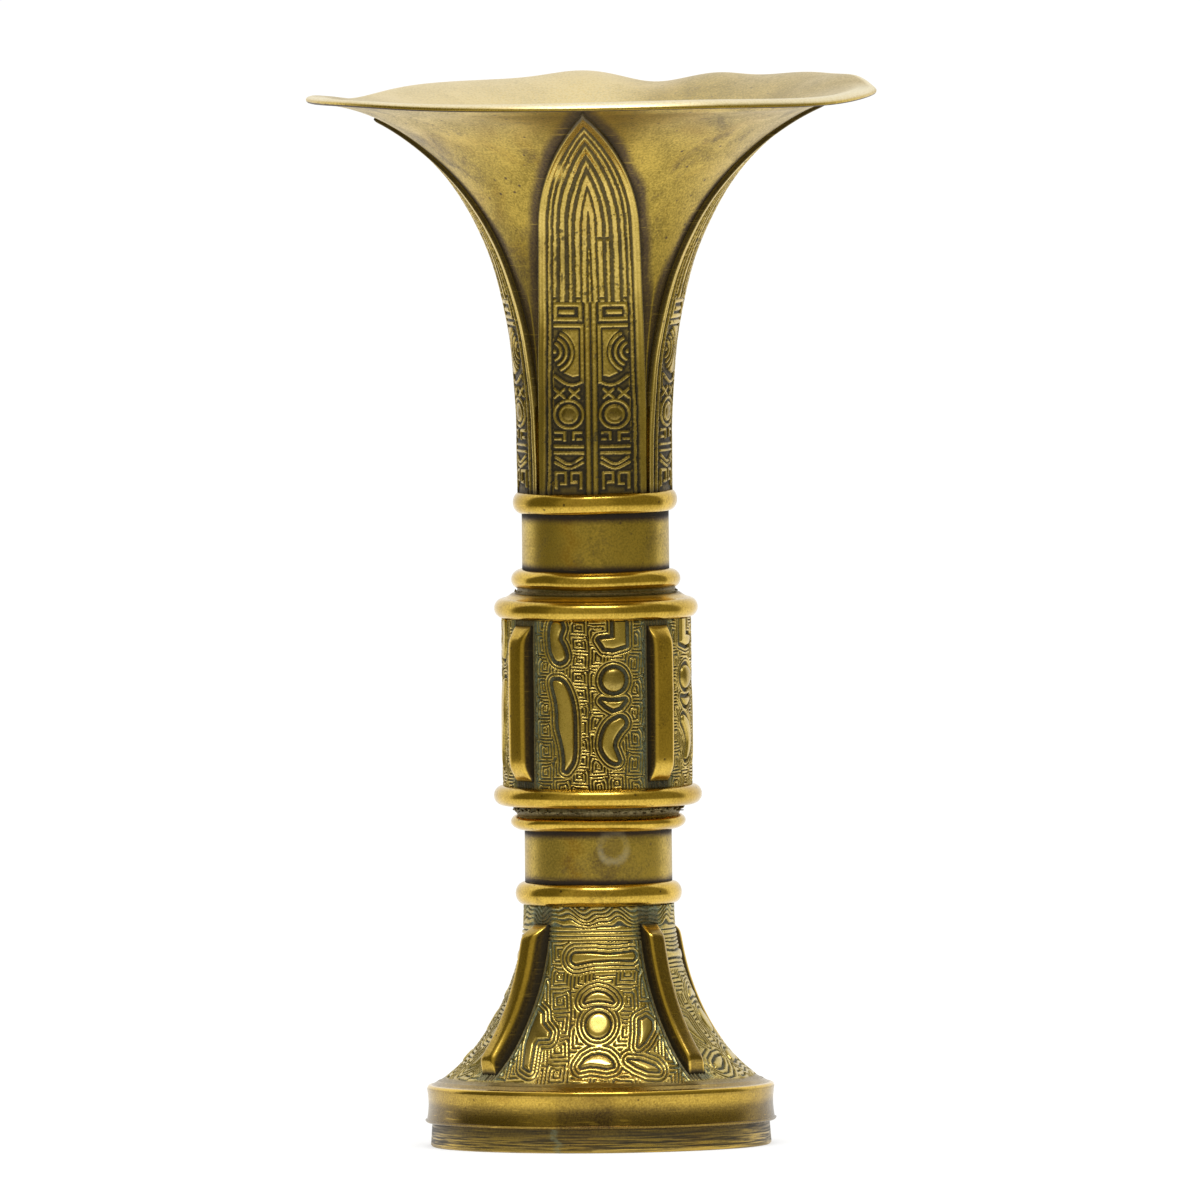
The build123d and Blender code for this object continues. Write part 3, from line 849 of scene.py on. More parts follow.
@dataclass(frozen=True)
class FlangeShape:
    """The section and ends of a bar that stands on a wall, with eased edges."""

    width: float
    depth: float
    top_slant: float
    foot_slant: float
    squareness: float = 3.8
    end_softness: float = 0.16
    root: float = 0.8
    thinning: float = 0.0
    tarnish: float = 0.0

    def build(self, name: str, wall: WallLine, azimuth: float, lean: float = 0.0) -> bpy.types.Object:
        """Builds the bar.

        Args:
            name: the object's name.
            wall: the line that its root follows, downwards.
            azimuth: where it stands, in degrees.
            lean: how far its face leans to the left for each millimetre that it stands proud.

        Returns:
            The object.
        """
        along = run_lengths(wall.radius, wall.level)
        from_end = np.minimum(along / self.top_slant, (along[-1] - along) / self.foot_slant)
        rising = 0.5 * (from_end + 1 - np.sqrt((from_end - 1) ** 2 + self.end_softness))
        top = (self.depth - self.thinning * along / along[-1]) * np.clip(0.1 + 0.9 * rising, 0.0, 1.0)
        arc = np.linspace(0, math.pi, 37)
        power = 2 / self.squareness
        side = -np.sign(np.cos(arc)) * np.abs(np.cos(arc)) ** power
        across = self.width / 2 * np.concatenate([[-1.0], side, [1.0]])
        rows = []
        for place, high in enumerate(top):
            off = np.concatenate([[-self.root], high * np.sin(arc) ** power, [-self.root]])
            radius = wall.radius[place] + off * wall.out_radius[place]
            level = wall.level[place] + off * wall.out_level[place]
            sink = np.where(off < 0, across**2 / (2 * wall.radius[place]), 0.0)
            rows.append(np.stack([across - lean * np.maximum(off, 0), -(radius - sink), level], -1))
        points = np.array(rows)
        turn = math.radians(azimuth)
        x, y, z = np.moveaxis(points, -1, 0)
        cosine, sine = math.cos(turn), math.sin(turn)
        turned_points = np.stack([x * cosine - y * sine, x * sine + y * cosine, z], -1)
        # Painted shade: the bar is darkened at both ends where they meet the wall, over its flanks and in the
        # crease at its root, and its flanks get more painted shade in stain_and_shade; the edges are rubbed
        # bright.
        painted_shade_ends = eased(0.9, 0.0, np.minimum(along, along[-1] - along))[:, None] + 0 * x
        upright = np.concatenate([[1.0], np.abs(np.cos(arc)), [1.0]]) + 0 * x
        painted_shade_flank, painted_shade_crevice = eased(0.74, 0.9, upright), eased(0.97, 0.999, upright)
        on_edge = eased(0.42, 0.62, upright) * eased(0.8, 0.7, upright)
        dark = np.clip(painted_shade_ends + 0.5 * painted_shade_flank + 0.4 * painted_shade_crevice, 0, 1)
        stain_and_shade = np.maximum(0.8 * painted_shade_flank, self.tarnish * (1 - on_edge))
        layers = {"hollow": dark, "stain_and_shade": stain_and_shade, "wear_and_sheen": 0.7 * on_edge}
        return skin(name, turned_points, False, layers, crease=60.0)


class NodePlan:
    """A Geometry Nodes tree with named inputs, run once into a plain mesh."""

    def __init__(self, name: str, inputs: dict[str, str]) -> None:
        """Starts a tree.

        Args:
            name: the tree's name.
            inputs: the socket type of each named input.
        """
        self.tree = bpy.data.node_groups.new(name, "GeometryNodeTree")
        faces = self.tree.interface
        self.keys = {
            label: faces.new_socket(label, in_out="INPUT", socket_type=kind).identifier
            for label, kind in inputs.items()
        }
        faces.new_socket("Geometry", in_out="OUTPUT", socket_type="NodeSocketGeometry")
        self.given = add_node(self.tree, "NodeGroupInput").outputs

    def close(self, geometry: bpy.types.NodeSocket) -> None:
        """Ends the tree in real, finished geometry.

        Args:
            geometry: what the tree has made.
        """
        real = add_node(self.tree, "GeometryNodeRealizeInstances", {"Geometry": geometry}).outputs[0]
        finish = {"Geometry": real, "Material": self.given["Material"]}
        done = add_node(self.tree, "GeometryNodeSetMaterial", finish).outputs[0]
        add_node(self.tree, "NodeGroupOutput", {"Geometry": done})

    def run(self, name: str, values: dict[str, object]) -> bpy.types.Object:
        """Makes a piece from the tree.

        Args:
            name: the piece's name.
            values: a value for each named input.

        Returns:
            The object, with a plain mesh and no modifier.
        """
        carrier = placed(name + "_plan", bpy.data.meshes.new(name + "_plan"))
        modifier = carrier.modifiers.new("plan", "NODES")
        modifier.node_group = self.tree
        for label, value in values.items():
            modifier[self.keys[label]] = value
        held = carrier.evaluated_get(bpy.context.evaluated_depsgraph_get())
        mesh = bpy.data.meshes.new_from_object(held)
        bpy.data.objects.remove(carrier)
        mesh.name = name
        mesh.shade_smooth()
        mesh.set_sharp_from_angle(angle=math.radians(55))
        return placed(name, mesh)


def bead_plan() -> NodePlan:
    """A half-round bead that follows a collar, not quite evenly.

    Returns:
        The tree, ready to run.
    """
    sizes = ("Collar radius", "Level", "Lean", "Proud", "Height", "Waver", "Seed")
    plan = NodePlan("half_round_bead", {**dict.fromkeys(sizes, FLOAT), "Material": "NodeSocketMaterial"})
    tree, given = plan.tree, plan.given
    ring = {"Resolution": 256, "Radius": given["Collar radius"]}
    path = add_node(tree, "GeometryNodeCurvePrimitiveCircle", ring).outputs["Curve"]
    place = add_node(tree, "GeometryNodeInputPosition").outputs[0]
    uneven = {"Vector": place, "W": given["Seed"], "Scale": 1 / (22 * MM), "Detail": 2.0}
    noise = add_node(tree, NOISE, uneven, noise_dimensions="4D").outputs["Color"]
    centred = add_node(tree, VECTOR, (noise, (0.5, 0.5, 0.5)), operation="SUBTRACT").outputs[0]
    stray = add_node(tree, VECTOR, {0: centred, "Scale": given["Waver"]}, operation="SCALE").outputs[0]
    split = add_node(tree, "ShaderNodeSeparateXYZ", (place,)).outputs
    leaning = (split["X"], given["Lean"], given["Level"])
    high = add_node(tree, MATH, leaning, operation="MULTIPLY_ADD").outputs[0]
    lift = add_node(tree, "ShaderNodeCombineXYZ", {"Z": high}).outputs[0]
    moved = add_node(tree, VECTOR, (stray, lift), operation="ADD").outputs[0]
    path = add_node(tree, "GeometryNodeSetPosition", {"Geometry": path, "Offset": moved}).outputs[0]
    disc = {"Resolution": 32, "Radius": 1.0}
    section = add_node(tree, "GeometryNodeCurvePrimitiveCircle", disc).outputs["Curve"]
    outer = add_node(tree, MATH, (split["X"], -0.25), operation="MAXIMUM").outputs[0]
    half = add_node(tree, MATH, (given["Height"], 0.5), operation="MULTIPLY").outputs[0]
    out = add_node(tree, MATH, (outer, given["Proud"]), operation="MULTIPLY").outputs[0]
    up = add_node(tree, MATH, (split["Y"], half), operation="MULTIPLY").outputs[0]
    shaped = add_node(tree, "ShaderNodeCombineXYZ", {"X": out, "Y": up}).outputs[0]
    section = add_node(tree, "GeometryNodeSetPosition", {"Geometry": section, "Position": shaped}).outputs[0]
    swept = {"Curve": path, "Profile Curve": section}
    plan.close(add_node(tree, "GeometryNodeCurveToMesh", swept).outputs[0])
    return plan


def crumb_plan() -> NodePlan:
    """Crumbs of solder that sit along a seam.

    Returns:
        The tree, ready to run.
    """
    sizes, counts = dict.fromkeys(("Radius", "Level", "Size"), FLOAT), dict.fromkeys(("Count", "Seed"), WHOLE)
    plan = NodePlan("solder_crumbs", {**sizes, **counts, "Material": "NodeSocketMaterial"})
    tree, given = plan.tree, plan.given
    seam = {"Resolution": 256, "Radius": given["Radius"]}
    ring = add_node(tree, "GeometryNodeCurvePrimitiveCircle", seam).outputs["Curve"]
    spots = {"Curve": ring, "Count": given["Count"]}
    points = add_node(tree, "GeometryNodeCurveToPoints", spots, mode="COUNT").outputs["Points"]
    ranges = ((-1.0, -1.0, -1.0), (1.0, 1.0, 1.0)), ((0.35, 0.35, 0.25), (1.4, 1.4, 0.9))
    jog, squash = (
        add_node(
            tree,
            "FunctionNodeRandomValue",
            {0: least, 1: most, "Seed": given["Seed"]},
            data_type="FLOAT_VECTOR",
        ).outputs[0]
        for least, most in ranges
    )
    jog = add_node(tree, VECTOR, {0: jog, "Scale": given["Size"]}, operation="SCALE").outputs[0]
    lift = add_node(tree, "ShaderNodeCombineXYZ", {"Z": given["Level"]}).outputs[0]
    moved = add_node(tree, VECTOR, (jog, lift), operation="ADD").outputs[0]
    points = add_node(tree, "GeometryNodeSetPosition", {"Geometry": points, "Offset": moved}).outputs[0]
    lump = {"Radius": given["Size"], "Subdivisions": 2}
    crumb = add_node(tree, "GeometryNodeMeshIcoSphere", lump).outputs["Mesh"]
    laid = {"Points": points, "Instance": crumb, "Scale": squash}
    plan.close(add_node(tree, "GeometryNodeInstanceOnPoints", laid).outputs[0])
    return plan


@dataclass
class TrumpetNeck:
    """The flaring neck, whose thin rim has been knocked out of true."""

    wall: float = 2.0
    lip: float = 1.6
    lip_roll: float = 1.6
    lip_under_roll: float = 0.8
    spigot_length: float = 5.0
    columns: int = 360
    outer_points: int = 150
    inner_points: int = 60
    out_of_round_mm: float = 0.1
    raised_mm: float = 0.2
    tilt_mm: float = 0.4
    tilt_towards: float = 95.0
    bent_from_radius: float = 42.0
    rolled_towards: float = 22.0
    rolled_half: float = 58.0
    rolled_up: tuple[float, float] = (62.0, 68.4)
    rolled_up_mm: float = 1.4
    rolled_down_from: float = 67.0
    rolled_down_mm: float = 1.3
    bulge_towards: float = 90.0
    bulge_half: float = 48.0
    bulge_mm: float = 0.85
    rim_waves: tuple[tuple[float, float, float], ...] = (
        (110.0, 9.5, 1.5),
        (128.0, 14.0, 1.8),
        (152.5, 7.0, 1.05),
        (167.0, 7.0, -1.4),
        (182.0, 9.0, 1.7),
        (238.0, 13.0, -1.6),
        (241.0, 20.0, -1.05),
        (47.0, 20.0, -0.7),
        (62.0, 16.0, -0.5),
        (302.0, 18.0, 0.5),
    )

    def warp(self, angle: np.ndarray, radius: np.ndarray) -> np.ndarray:
        """How far the rim is bent up from level.

        Args:
            angle: azimuths in radians.
            radius: how far out from the axis.

        Returns:
            The lift in millimetres.
        """
        degrees = np.degrees(angle)
        lift = self.raised_mm + self.tilt_mm * np.cos(np.radians(degrees - self.tilt_towards))
        for towards, half_width, rise in self.rim_waves:
            lift = lift + rise * bell(degrees_from(angle, towards), half_width)
        lift = lift * eased(self.bent_from_radius, MOUTH_RADIUS, radius)
        over = np.clip((radius - self.rolled_down_from) / (MOUTH_RADIUS - self.rolled_down_from), 0, 1)
        rolled = self.rolled_up_mm * eased(*self.rolled_up, radius) - self.rolled_down_mm * over**2
        rolled = rolled * bell(degrees_from(angle, self.rolled_towards), self.rolled_half)
        bulge = self.bulge_mm * bell(degrees - self.bulge_towards, self.bulge_half)
        return lift + rolled + bulge * eased(26.0, 46.0, radius) * eased(70.0, 58.0, radius)

    def stray(self, angle: np.ndarray, level: np.ndarray) -> np.ndarray:
        """How far the wall is out of round, which it isn't at the collar."""
        return waver(angle, level, 3, self.out_of_round_mm) * eased(NECK_ROOT_Z, 175.0, level)

    def section(self) -> tuple[np.ndarray, np.ndarray, np.ndarray]:
        """The outline of the wall: up the outside, over the lip, down the inside and round the spigot.

        Returns:
            Radius and level of each point, and how far the lip has turned at each point of it.
        """
        outer = NECK_FLARE.line(NECK_ROOT_Z, MOUTH_Z, self.outer_points)
        inner = NECK_FLARE.line(NECK_ROOT_Z, MOUTH_Z, self.inner_points)
        inner_r, inner_z = inner.offset(-np.linspace(self.wall, self.lip, self.inner_points))
        lip_turn = np.linspace(-math.pi / 2, math.pi / 2, 15)[1:-1]
        roll = np.where(lip_turn < 0, self.lip_under_roll, self.lip_roll)
        lip_r = outer.radius[-1] - roll * (1 - np.cos(lip_turn))
        lip_z = (outer.level[-1] + inner_z[-1]) / 2 + self.lip / 2 * np.sin(lip_turn)
        kept = inner_r < outer.radius[-1] - self.lip_roll
        bottom = NECK_ROOT_Z - self.spigot_length
        spigot_r, spigot_z = [BORE_RADIUS, SPIGOT_RADIUS, SPIGOT_RADIUS], [bottom, bottom, NECK_ROOT_Z]
        radius = np.concatenate([outer.radius[:-1], lip_r, inner_r[kept][::-1], spigot_r])
        level = np.concatenate([outer.level[:-1], lip_z, inner_z[kept][::-1], spigot_z])
        return radius, level, lip_turn

    def build(self, blades: "NeckBlades") -> None:
        """Builds the neck, with stains and painted shade along the blades, a rubbed lip with a painted
        highlight on it and painted shade under it, and an inside with dust, painted sheen and painted shade.

        Args:
            blades: the plates that stand on it.
        """
        radius, level, lip_turn = self.section()
        angle = np.linspace(0, TURN, self.columns, endpoint=False)[:, None]
        lift, stray = self.warp(angle, radius[None, :]), self.stray(angle, level[None, :])
        points = around(radius[None, :] + stray, level[None, :] + lift, angle)
        stain_and_shade, wear_and_sheen, bloom_and_highlight, hollow = (np.zeros(points.shape[:2]) for _ in range(4))

        outside = slice(0, self.outer_points - 1)
        rise = level[None, outside]
        near = blades.nearest_edge(angle, radius[None, outside], rise)
        near = near + waver(6 * angle, 0.8 * rise, 13, 0.45)
        tide = 0.78 * np.clip((near + 3.7) / 1.9, 0, 1) * eased(163.0, 200.0, rise)
        stain_and_shade[:, outside] = np.maximum(tide, 0.9 * eased(172.0, 165.0, rise))
        # Painted shade beside each blade's edge.
        painted_shade_crevice = 0.7 * np.clip((near + 1.1) / 1.1, 0, 1)
        hollow[:, outside] = np.maximum(painted_shade_crevice, 0.8 * eased(166.0, 164.0, rise))

        lip = slice(outside.stop, outside.stop + len(lip_turn))
        # The lip's top is rubbed bright and carries a painted pale highlight; its underside has painted
        # shade.
        wear_and_sheen[:, lip] = np.where(lip_turn > -0.4, 1.0, 0.0)
        stain_and_shade[:, lip] = np.where(lip_turn < -0.4, 0.9, 0.0)
        bloom_and_highlight[:, lip] = 0.8 * eased(0.1, 0.8, lip_turn)

        inside = slice(lip.stop, None)
        degrees, reach = np.degrees(angle), radius[None, inside]
        # Painted sheen: a brighter band across the back of the inside, which also gets more dust; a painted
        # pale highlight runs inside the front rim.
        painted_sheen = eased(160.0, 178.0, degrees) * eased(262.0, 222.0, degrees) * eased(30.0, 50.0, reach)
        front = eased(110.0, 80.0, np.abs(degrees_from(angle))) * eased(63.0, 66.5, reach)
        dust_and_sheen = (0.2 + 0.3 * painted_sheen) * eased(30.0, 50.0, reach)
        wear_and_sheen[:, inside] = 0.25 + 0.65 * painted_sheen
        bloom_and_highlight[:, inside] = np.maximum(dust_and_sheen, 0.85 * front)
        # Painted shade on the right side of the inside.
        stain_and_shade[:, inside] = 0.26 * eased(175.0, 158.0, degrees) * eased(60.0, 100.0, degrees)
        marks = {"stain_and_shade": stain_and_shade, "wear_and_sheen": wear_and_sheen, "bloom_and_highlight": bloom_and_highlight, "hollow": hollow}
        settle(skin("trumpet_neck_shell", points, True, marks), Finish.SATIN, "trumpet_neck")


@dataclass
class NeckBlades:
    """Four leaf-shaped plates on the neck, with a plain border round chased lines and figures."""

    neck: TrumpetNeck
    names: tuple[str, ...] = ("front", "right", "back", "left")
    first_azimuth: float = -2.0
    bottom_z: float = NECK_ROOT_Z
    tips: tuple[float, ...] = (261.3, 259.6, 260.4, 257.8)
    tip_z: float = 260.4
    ogive: float = 29.6
    root_half: float = 13.36
    shoulder_half: float = 12.56
    widest_angle: float = 43.2
    thickness: float = 1.12
    sunk: float = 0.6
    edge_rounding: float = 0.6
    field: float = 0.55
    crest: float = 1.0
    border: float = 1.76
    grooves: tuple[tuple[float, float], ...] = (
        (2.2, 0.4),
        (3.5, 0.32),
        (5.05, 0.44),
        (7.15, 0.52),
        (8.85, 0.44),
        (10.7, 0.28),
        (12.3, 0.24),
    )
    hooks: tuple[tuple[float, float], ...] = ((1.9, 4.2), (7.4, 9.2))
    hook_z: float = 213.2
    nick: tuple[float, float] = (3.5, 228.6)
    rubbed_spot: tuple[float, float] = (-7.2, 246.0)
    frame_width: float = 3.85
    figures_top: float = 212.3
    eye: tuple[float, float] = (5.55, 183.8)
    eye_radius: float = 1.85
    columns: int = 124
    rows: int = 424
    back_columns: int = 9
    thin: float = 0.3
    wide: float = 0.42
    seed: int = 11

    @property
    def shoulder_z(self) -> float:
        """Where the straight sides turn into the pointed arch."""
        return self.tip_z - self.ogive

    @property
    def arch_radius(self) -> float:
        """The radius of each side of the pointed arch."""
        return (self.shoulder_half**2 + self.ogive**2) / (2 * self.shoulder_half)

    def straight_half(self, level: np.ndarray) -> np.ndarray:
        """Half of the width between the straight sides, which taper up to the shoulder."""
        part = np.clip((level - self.bottom_z) / (self.shoulder_z - self.bottom_z), 0, 1)
        return self.root_half + (self.shoulder_half - self.root_half) * part

    def half_width(self, level: np.ndarray) -> np.ndarray:
        """Half of the blade's width, seen from straight in front.

        Args:
            level: heights.

        Returns:
            A half width for each height.
        """
        up = np.clip(level - self.shoulder_z, 0, self.ogive)
        arch = np.sqrt(self.arch_radius**2 - up**2) - (self.arch_radius - self.shoulder_half)
        return np.where(level > self.shoulder_z, arch, self.straight_half(level))

    def inside(self, across: np.ndarray, level: np.ndarray) -> np.ndarray:
        """How far places are inside the blade's outline, less than 0 outside it.

        Args:
            across: distance from the blade's middle.
            level: heights.

        Returns:
            A distance for each place.
        """
        straight = self.straight_half(level) - np.abs(across)
        reach = np.hypot(np.abs(across) + self.arch_radius - self.shoulder_half, level - self.shoulder_z)
        return np.where(level > self.shoulder_z, self.arch_radius - reach, straight)

    def reaching(self, tip: float) -> "NeckBlades":
        """A blade with the same sides and its tip at another height."""
        return replace(self, tip_z=tip, ogive=self.ogive + tip - self.tip_z)

    def nearest_edge(self, angle: np.ndarray, radius: np.ndarray, level: np.ndarray) -> np.ndarray:
        """How far places on the neck are inside the nearest blade.

        Args:
            angle: azimuths in radians.
            radius: distances from the axis.
            level: heights.

        Returns:
            A distance for each place, less than 0 outside the blades.
        """
        best = np.full(np.broadcast(angle, level).shape, -np.inf)
        for quarter, tip in enumerate(self.tips):
            away = np.radians(degrees_from(angle, self.first_azimuth + 90 * quarter))
            found = self.reaching(tip).inside(radius * np.sin(away), level + 0 * away)
            best = np.where(np.abs(away) < math.pi / 4, found, best)
        return best

    def figures(self) -> list[Motif]:
        """The lines of the lower field, for one side of the middle.

        Returns:
            Each line, with heights above the floor.
        """
        thin, wide = self.thin, self.wide
        eye_x, eye_z = self.eye

        def run(half: float, *corners: tuple[float, float]) -> Motif:
            """A line from corner to corner."""
            return Motif(MotifShape.BAR, tuple((x, z, half) for x, z in corners))

        def arc(half: float, x: float, z: float, radius: float, start: float, end: float) -> Motif:
            """A line along part of a circle, between two angles in degrees."""
            turn = np.radians(np.linspace(start, end, 18))
            return stroke(*((x + radius * math.cos(a), z + radius * math.sin(a), half) for a in turn))

        def line(*corners: tuple[float, float]) -> Motif:
            """A thin curve through its corners."""
            return stroke(*((x, z, thin) for x, z in corners))

        crossed = (190.1, 188.0), (188.0, 190.1)
        ear_rings = (0.36, 5.1), (thin, 3.7), (thin, 2.3)
        cheek_top = (2.95, 205.1), (6.9, 205.1), (5.5, 203.8), (4.5, 202.4), (3.95, 201.0), (3.8, 199.6)
        cheek_foot = (3.95, 198.2), (4.5, 196.8), (5.5, 195.4), (6.6, 194.3), (4.4, 193.3), (2.95, 193.6)
        return [
            run(0.5, (0.83, 163.4), (0.83, 216.0)),
            run(wide, (2.45, 207.8), (8.6, 207.8), (8.6, 211.6), (2.45, 211.6), (2.45, 207.8)),
            run(0.5, (4.4, 209.7), (7.2, 209.7)),
            run(wide, (2.1, 206.2), (9.0, 206.2)),
            run(wide, (2.1, 206.2), (2.1, 192.0)),
            line((2.1, 192.0), (4.4, 191.2), (6.5, 191.7), (8.8, 193.4)),
            *(arc(half, 9.6, 199.6, reach, 118, 242) for half, reach in ear_rings),
            plate(*cheek_top, *cheek_foot),
            stroke((8.9, 199.6, 0.5)),
            *(line((x, start), (x + 2.3, end)) for x in (3.0, 6.6) for start, end in crossed),
            arc(thin, eye_x, eye_z, 3.5, 0, 360),
            arc(thin, eye_x, eye_z, 2.1, 0, 360),
            run(thin, (2.6, 179.2), (4.4, 179.2), (4.4, 177.6)),
            run(thin, (6.6, 177.3), (6.6, 179.3), (8.8, 179.3)),
            run(thin, (2.6, 177.6), (3.4, 177.6)),
            run(thin, (7.6, 177.6), (8.8, 177.6)),
            run(thin, (2.2, 175.7), (9.0, 175.7)),
            run(thin, (2.2, 174.1), (9.0, 174.1)),
            line((2.4, 173.0), (5.6, 171.3), (8.8, 173.0)),
            line((2.2, 171.7), (5.6, 170.2), (9.0, 171.7)),
            run(thin, (2.7, 165.4), (2.7, 169.2), (5.0, 169.2), (5.0, 166.8), (3.9, 166.8)),
            run(thin, (8.8, 165.4), (8.8, 169.2), (6.4, 169.2), (6.4, 166.4), (7.5, 166.4)),
        ]

    def cuts(self, across: np.ndarray, level: np.ndarray, edge: np.ndarray, rough: np.ndarray) -> np.ndarray:
        """Where the grooves that follow the outline are cut, with the hooks that end them and two old marks.

        Args:
            across: distance from the blade's middle.
            level: heights.
            edge: how far inside the outline.
            rough: fine noise.

        Returns:
            From 0, uncut, to 1.
        """
        sway = edge + 0.07 * np.sin(0.21 * level + 0.7 * across) + 0.03 * np.sin(1.1 * level + across)
        sway = sway + 0.08 * rough
        cut = np.zeros(across.shape)
        for centre, half in self.grooves:
            cut = np.maximum(cut, eased(half + 0.12, half - 0.12, np.abs(sway - centre)))
        spot_x, spot_z = self.rubbed_spot
        cut = cut * (1 - 0.85 * np.exp(-(((across - spot_x) / 1.9) ** 2) - ((level - spot_z) / 2.4) ** 2))
        for start, end in self.hooks:
            along = np.abs(np.abs(across) - (start + end) / 2) - (end - start) / 2
            cut = np.maximum(cut, eased(0.12, -0.12, np.maximum(along, np.abs(level - self.hook_z) - 0.3)))
        nick_x, nick_z = self.nick
        nick = np.maximum(np.abs(across - nick_x) - 1.6, np.abs(level - nick_z) - 0.28)
        return np.maximum(cut, eased(0.15, -0.1, nick))

    def carve(self, across: np.ndarray, level: np.ndarray) -> tuple[np.ndarray, Layers]:
        """Works out the plate's relief.

        Args:
            across: distance from the blade's middle, seen from straight in front.
            level: heights.

        Returns:
            The height off the neck, and the finish's layers.
        """
        edge, side = self.inside(across, level), np.abs(across)
        rough = clumped(np.random.default_rng(self.seed).normal(0, 1, across.shape), 1, 4)
        cut = self.cuts(across, level, edge, rough)
        figure = np.full(across.shape, np.inf)
        low = level < self.figures_top + 3
        for motif in self.figures():
            figure[low] = np.minimum(figure[low], motif.distance(side[low], level[low]))
        drawn = eased(0.16, -0.12, figure + 0.04 * rough)
        upper = eased(self.figures_top - 0.2, self.figures_top + 0.2, level)
        lines = (1 - cut) * upper + np.where(edge < self.frame_width, 1 - cut, drawn) * (1 - upper)
        eye = np.clip(1 - (np.hypot(side - self.eye[0], level - self.eye[1]) / self.eye_radius) ** 2, 0, 1)
        inner = self.field + (self.crest - self.field) * lines + 0.03 * rough + 0.6 * np.sqrt(eye)
        rounding = np.clip((self.edge_rounding - edge) / self.edge_rounding, 0, 1)
        plain = self.thickness - self.edge_rounding * (1 - np.sqrt(1 - rounding**2))
        plain = plain - 0.1 * eased(0.7, 1.0, edge)
        stepped = inner + (plain - inner) * eased(0.3, 0.0, edge - self.border)
        height = np.where(edge < self.border, plain, stepped)

        within = edge > self.border
        open_field = (1 - upper) * (edge > self.frame_width) * eased(0.45, 1.2, figure)
        hollow = (1 - eased(self.field + 0.08, self.crest - 0.12, height)) * (1 - 0.35 * open_field)
        hollow = hollow * eased(self.border - 0.1, self.border + 0.2, edge)
        speck = 0.8 * eased(0.75, 1.05, np.roll(clumped(rough, 2, 2), 5, 0)) * within
        patchy = 0.62 + 0.38 * np.sin(0.9 * across + 0.35 * level) * np.sin(0.5 * across - 0.27 * level + 1.0)
        # Painted shade on the plate's side wall.
        painted_shade_flank = eased(0.6, 0.2, edge)
        # Darker towards the bottom of the plate.
        darker_towards_foot = 0.55 * eased(214.0, 186.0, level) * eased(0.5, 0.9, edge)
        ledge = eased(2.6, 0.3, level - self.bottom_z)
        # Painted highlights: bright lines along the plate's rounded edge and at the border's step; the raised
        # lines are rubbed bright, less so among the figures.
        bright = 0.6 * eased(0.5, 0.2, np.abs(edge - 0.85))
        bright = bright + eased(0.35, 0.1, np.abs(edge - self.border + 0.2))
        bright = np.clip(bright + (0.7 - 0.35 * (1 - upper)) * lines * within, 0, 1)
        waxed = (0.88 + 0.12 * (1 - upper)) * hollow
        layers = {
            "hollow": np.maximum.reduce([waxed, speck, 0.6 * ledge, 0.5 * painted_shade_flank]),
            "stain_and_shade": np.maximum.reduce([darker_towards_foot * (1 - 0.5 * lines), 0.8 * ledge, 0.7 * painted_shade_flank]),
            "wear_and_sheen": 0.8 * patchy * bright * (1 - 0.55 * darker_towards_foot),
        }
        return height, layers

    def build(self) -> None:
        """Builds the four blades."""
        for quarter, (name, tip) in enumerate(zip(self.names, self.tips)):
            self.reaching(tip).build_one(name, math.radians(self.first_azimuth + 90 * quarter))

    def build_one(self, name: str, azimuth: float) -> None:
        """Builds one blade.

        Args:
            name: which side it is on.
            azimuth: where its middle is, in radians.
        """
        wall = NECK_FLARE.line(self.bottom_z, self.tip_z - 0.02, self.rows)
        widest = wall.radius * math.sin(math.radians(self.widest_angle))
        half = np.minimum(self.half_width(wall.level), widest)[:, None]
        root_r, root_z = wall.radius[:, None], wall.level[:, None]
        across = half * np.linspace(-1, 1, self.columns)[None, :]
        height, layers = self.carve(across, root_z + 0 * across)
        back = half * np.linspace(1, -1, self.back_columns)[None, :]
        height = np.concatenate([height, np.full(back.shape, -self.sunk)], 1)
        across = np.concatenate([across, back], 1)
        layers = {key: np.concatenate([values, 0 * back], 1) for key, values in layers.items()}
        angle = np.arcsin(np.clip(across / root_r, -1, 1)) + azimuth
        radius = root_r + height * wall.out_radius[:, None] + self.neck.stray(angle, root_z)
        level = root_z + height * wall.out_level[:, None]
        level = level + self.neck.warp(angle, np.broadcast_to(root_r, angle.shape))
        piece = skin("blade_" + name, around(radius, level, angle), False, layers, crease=75.0)
        settle(piece, Finish.CHASED, "neck_blade_" + name)


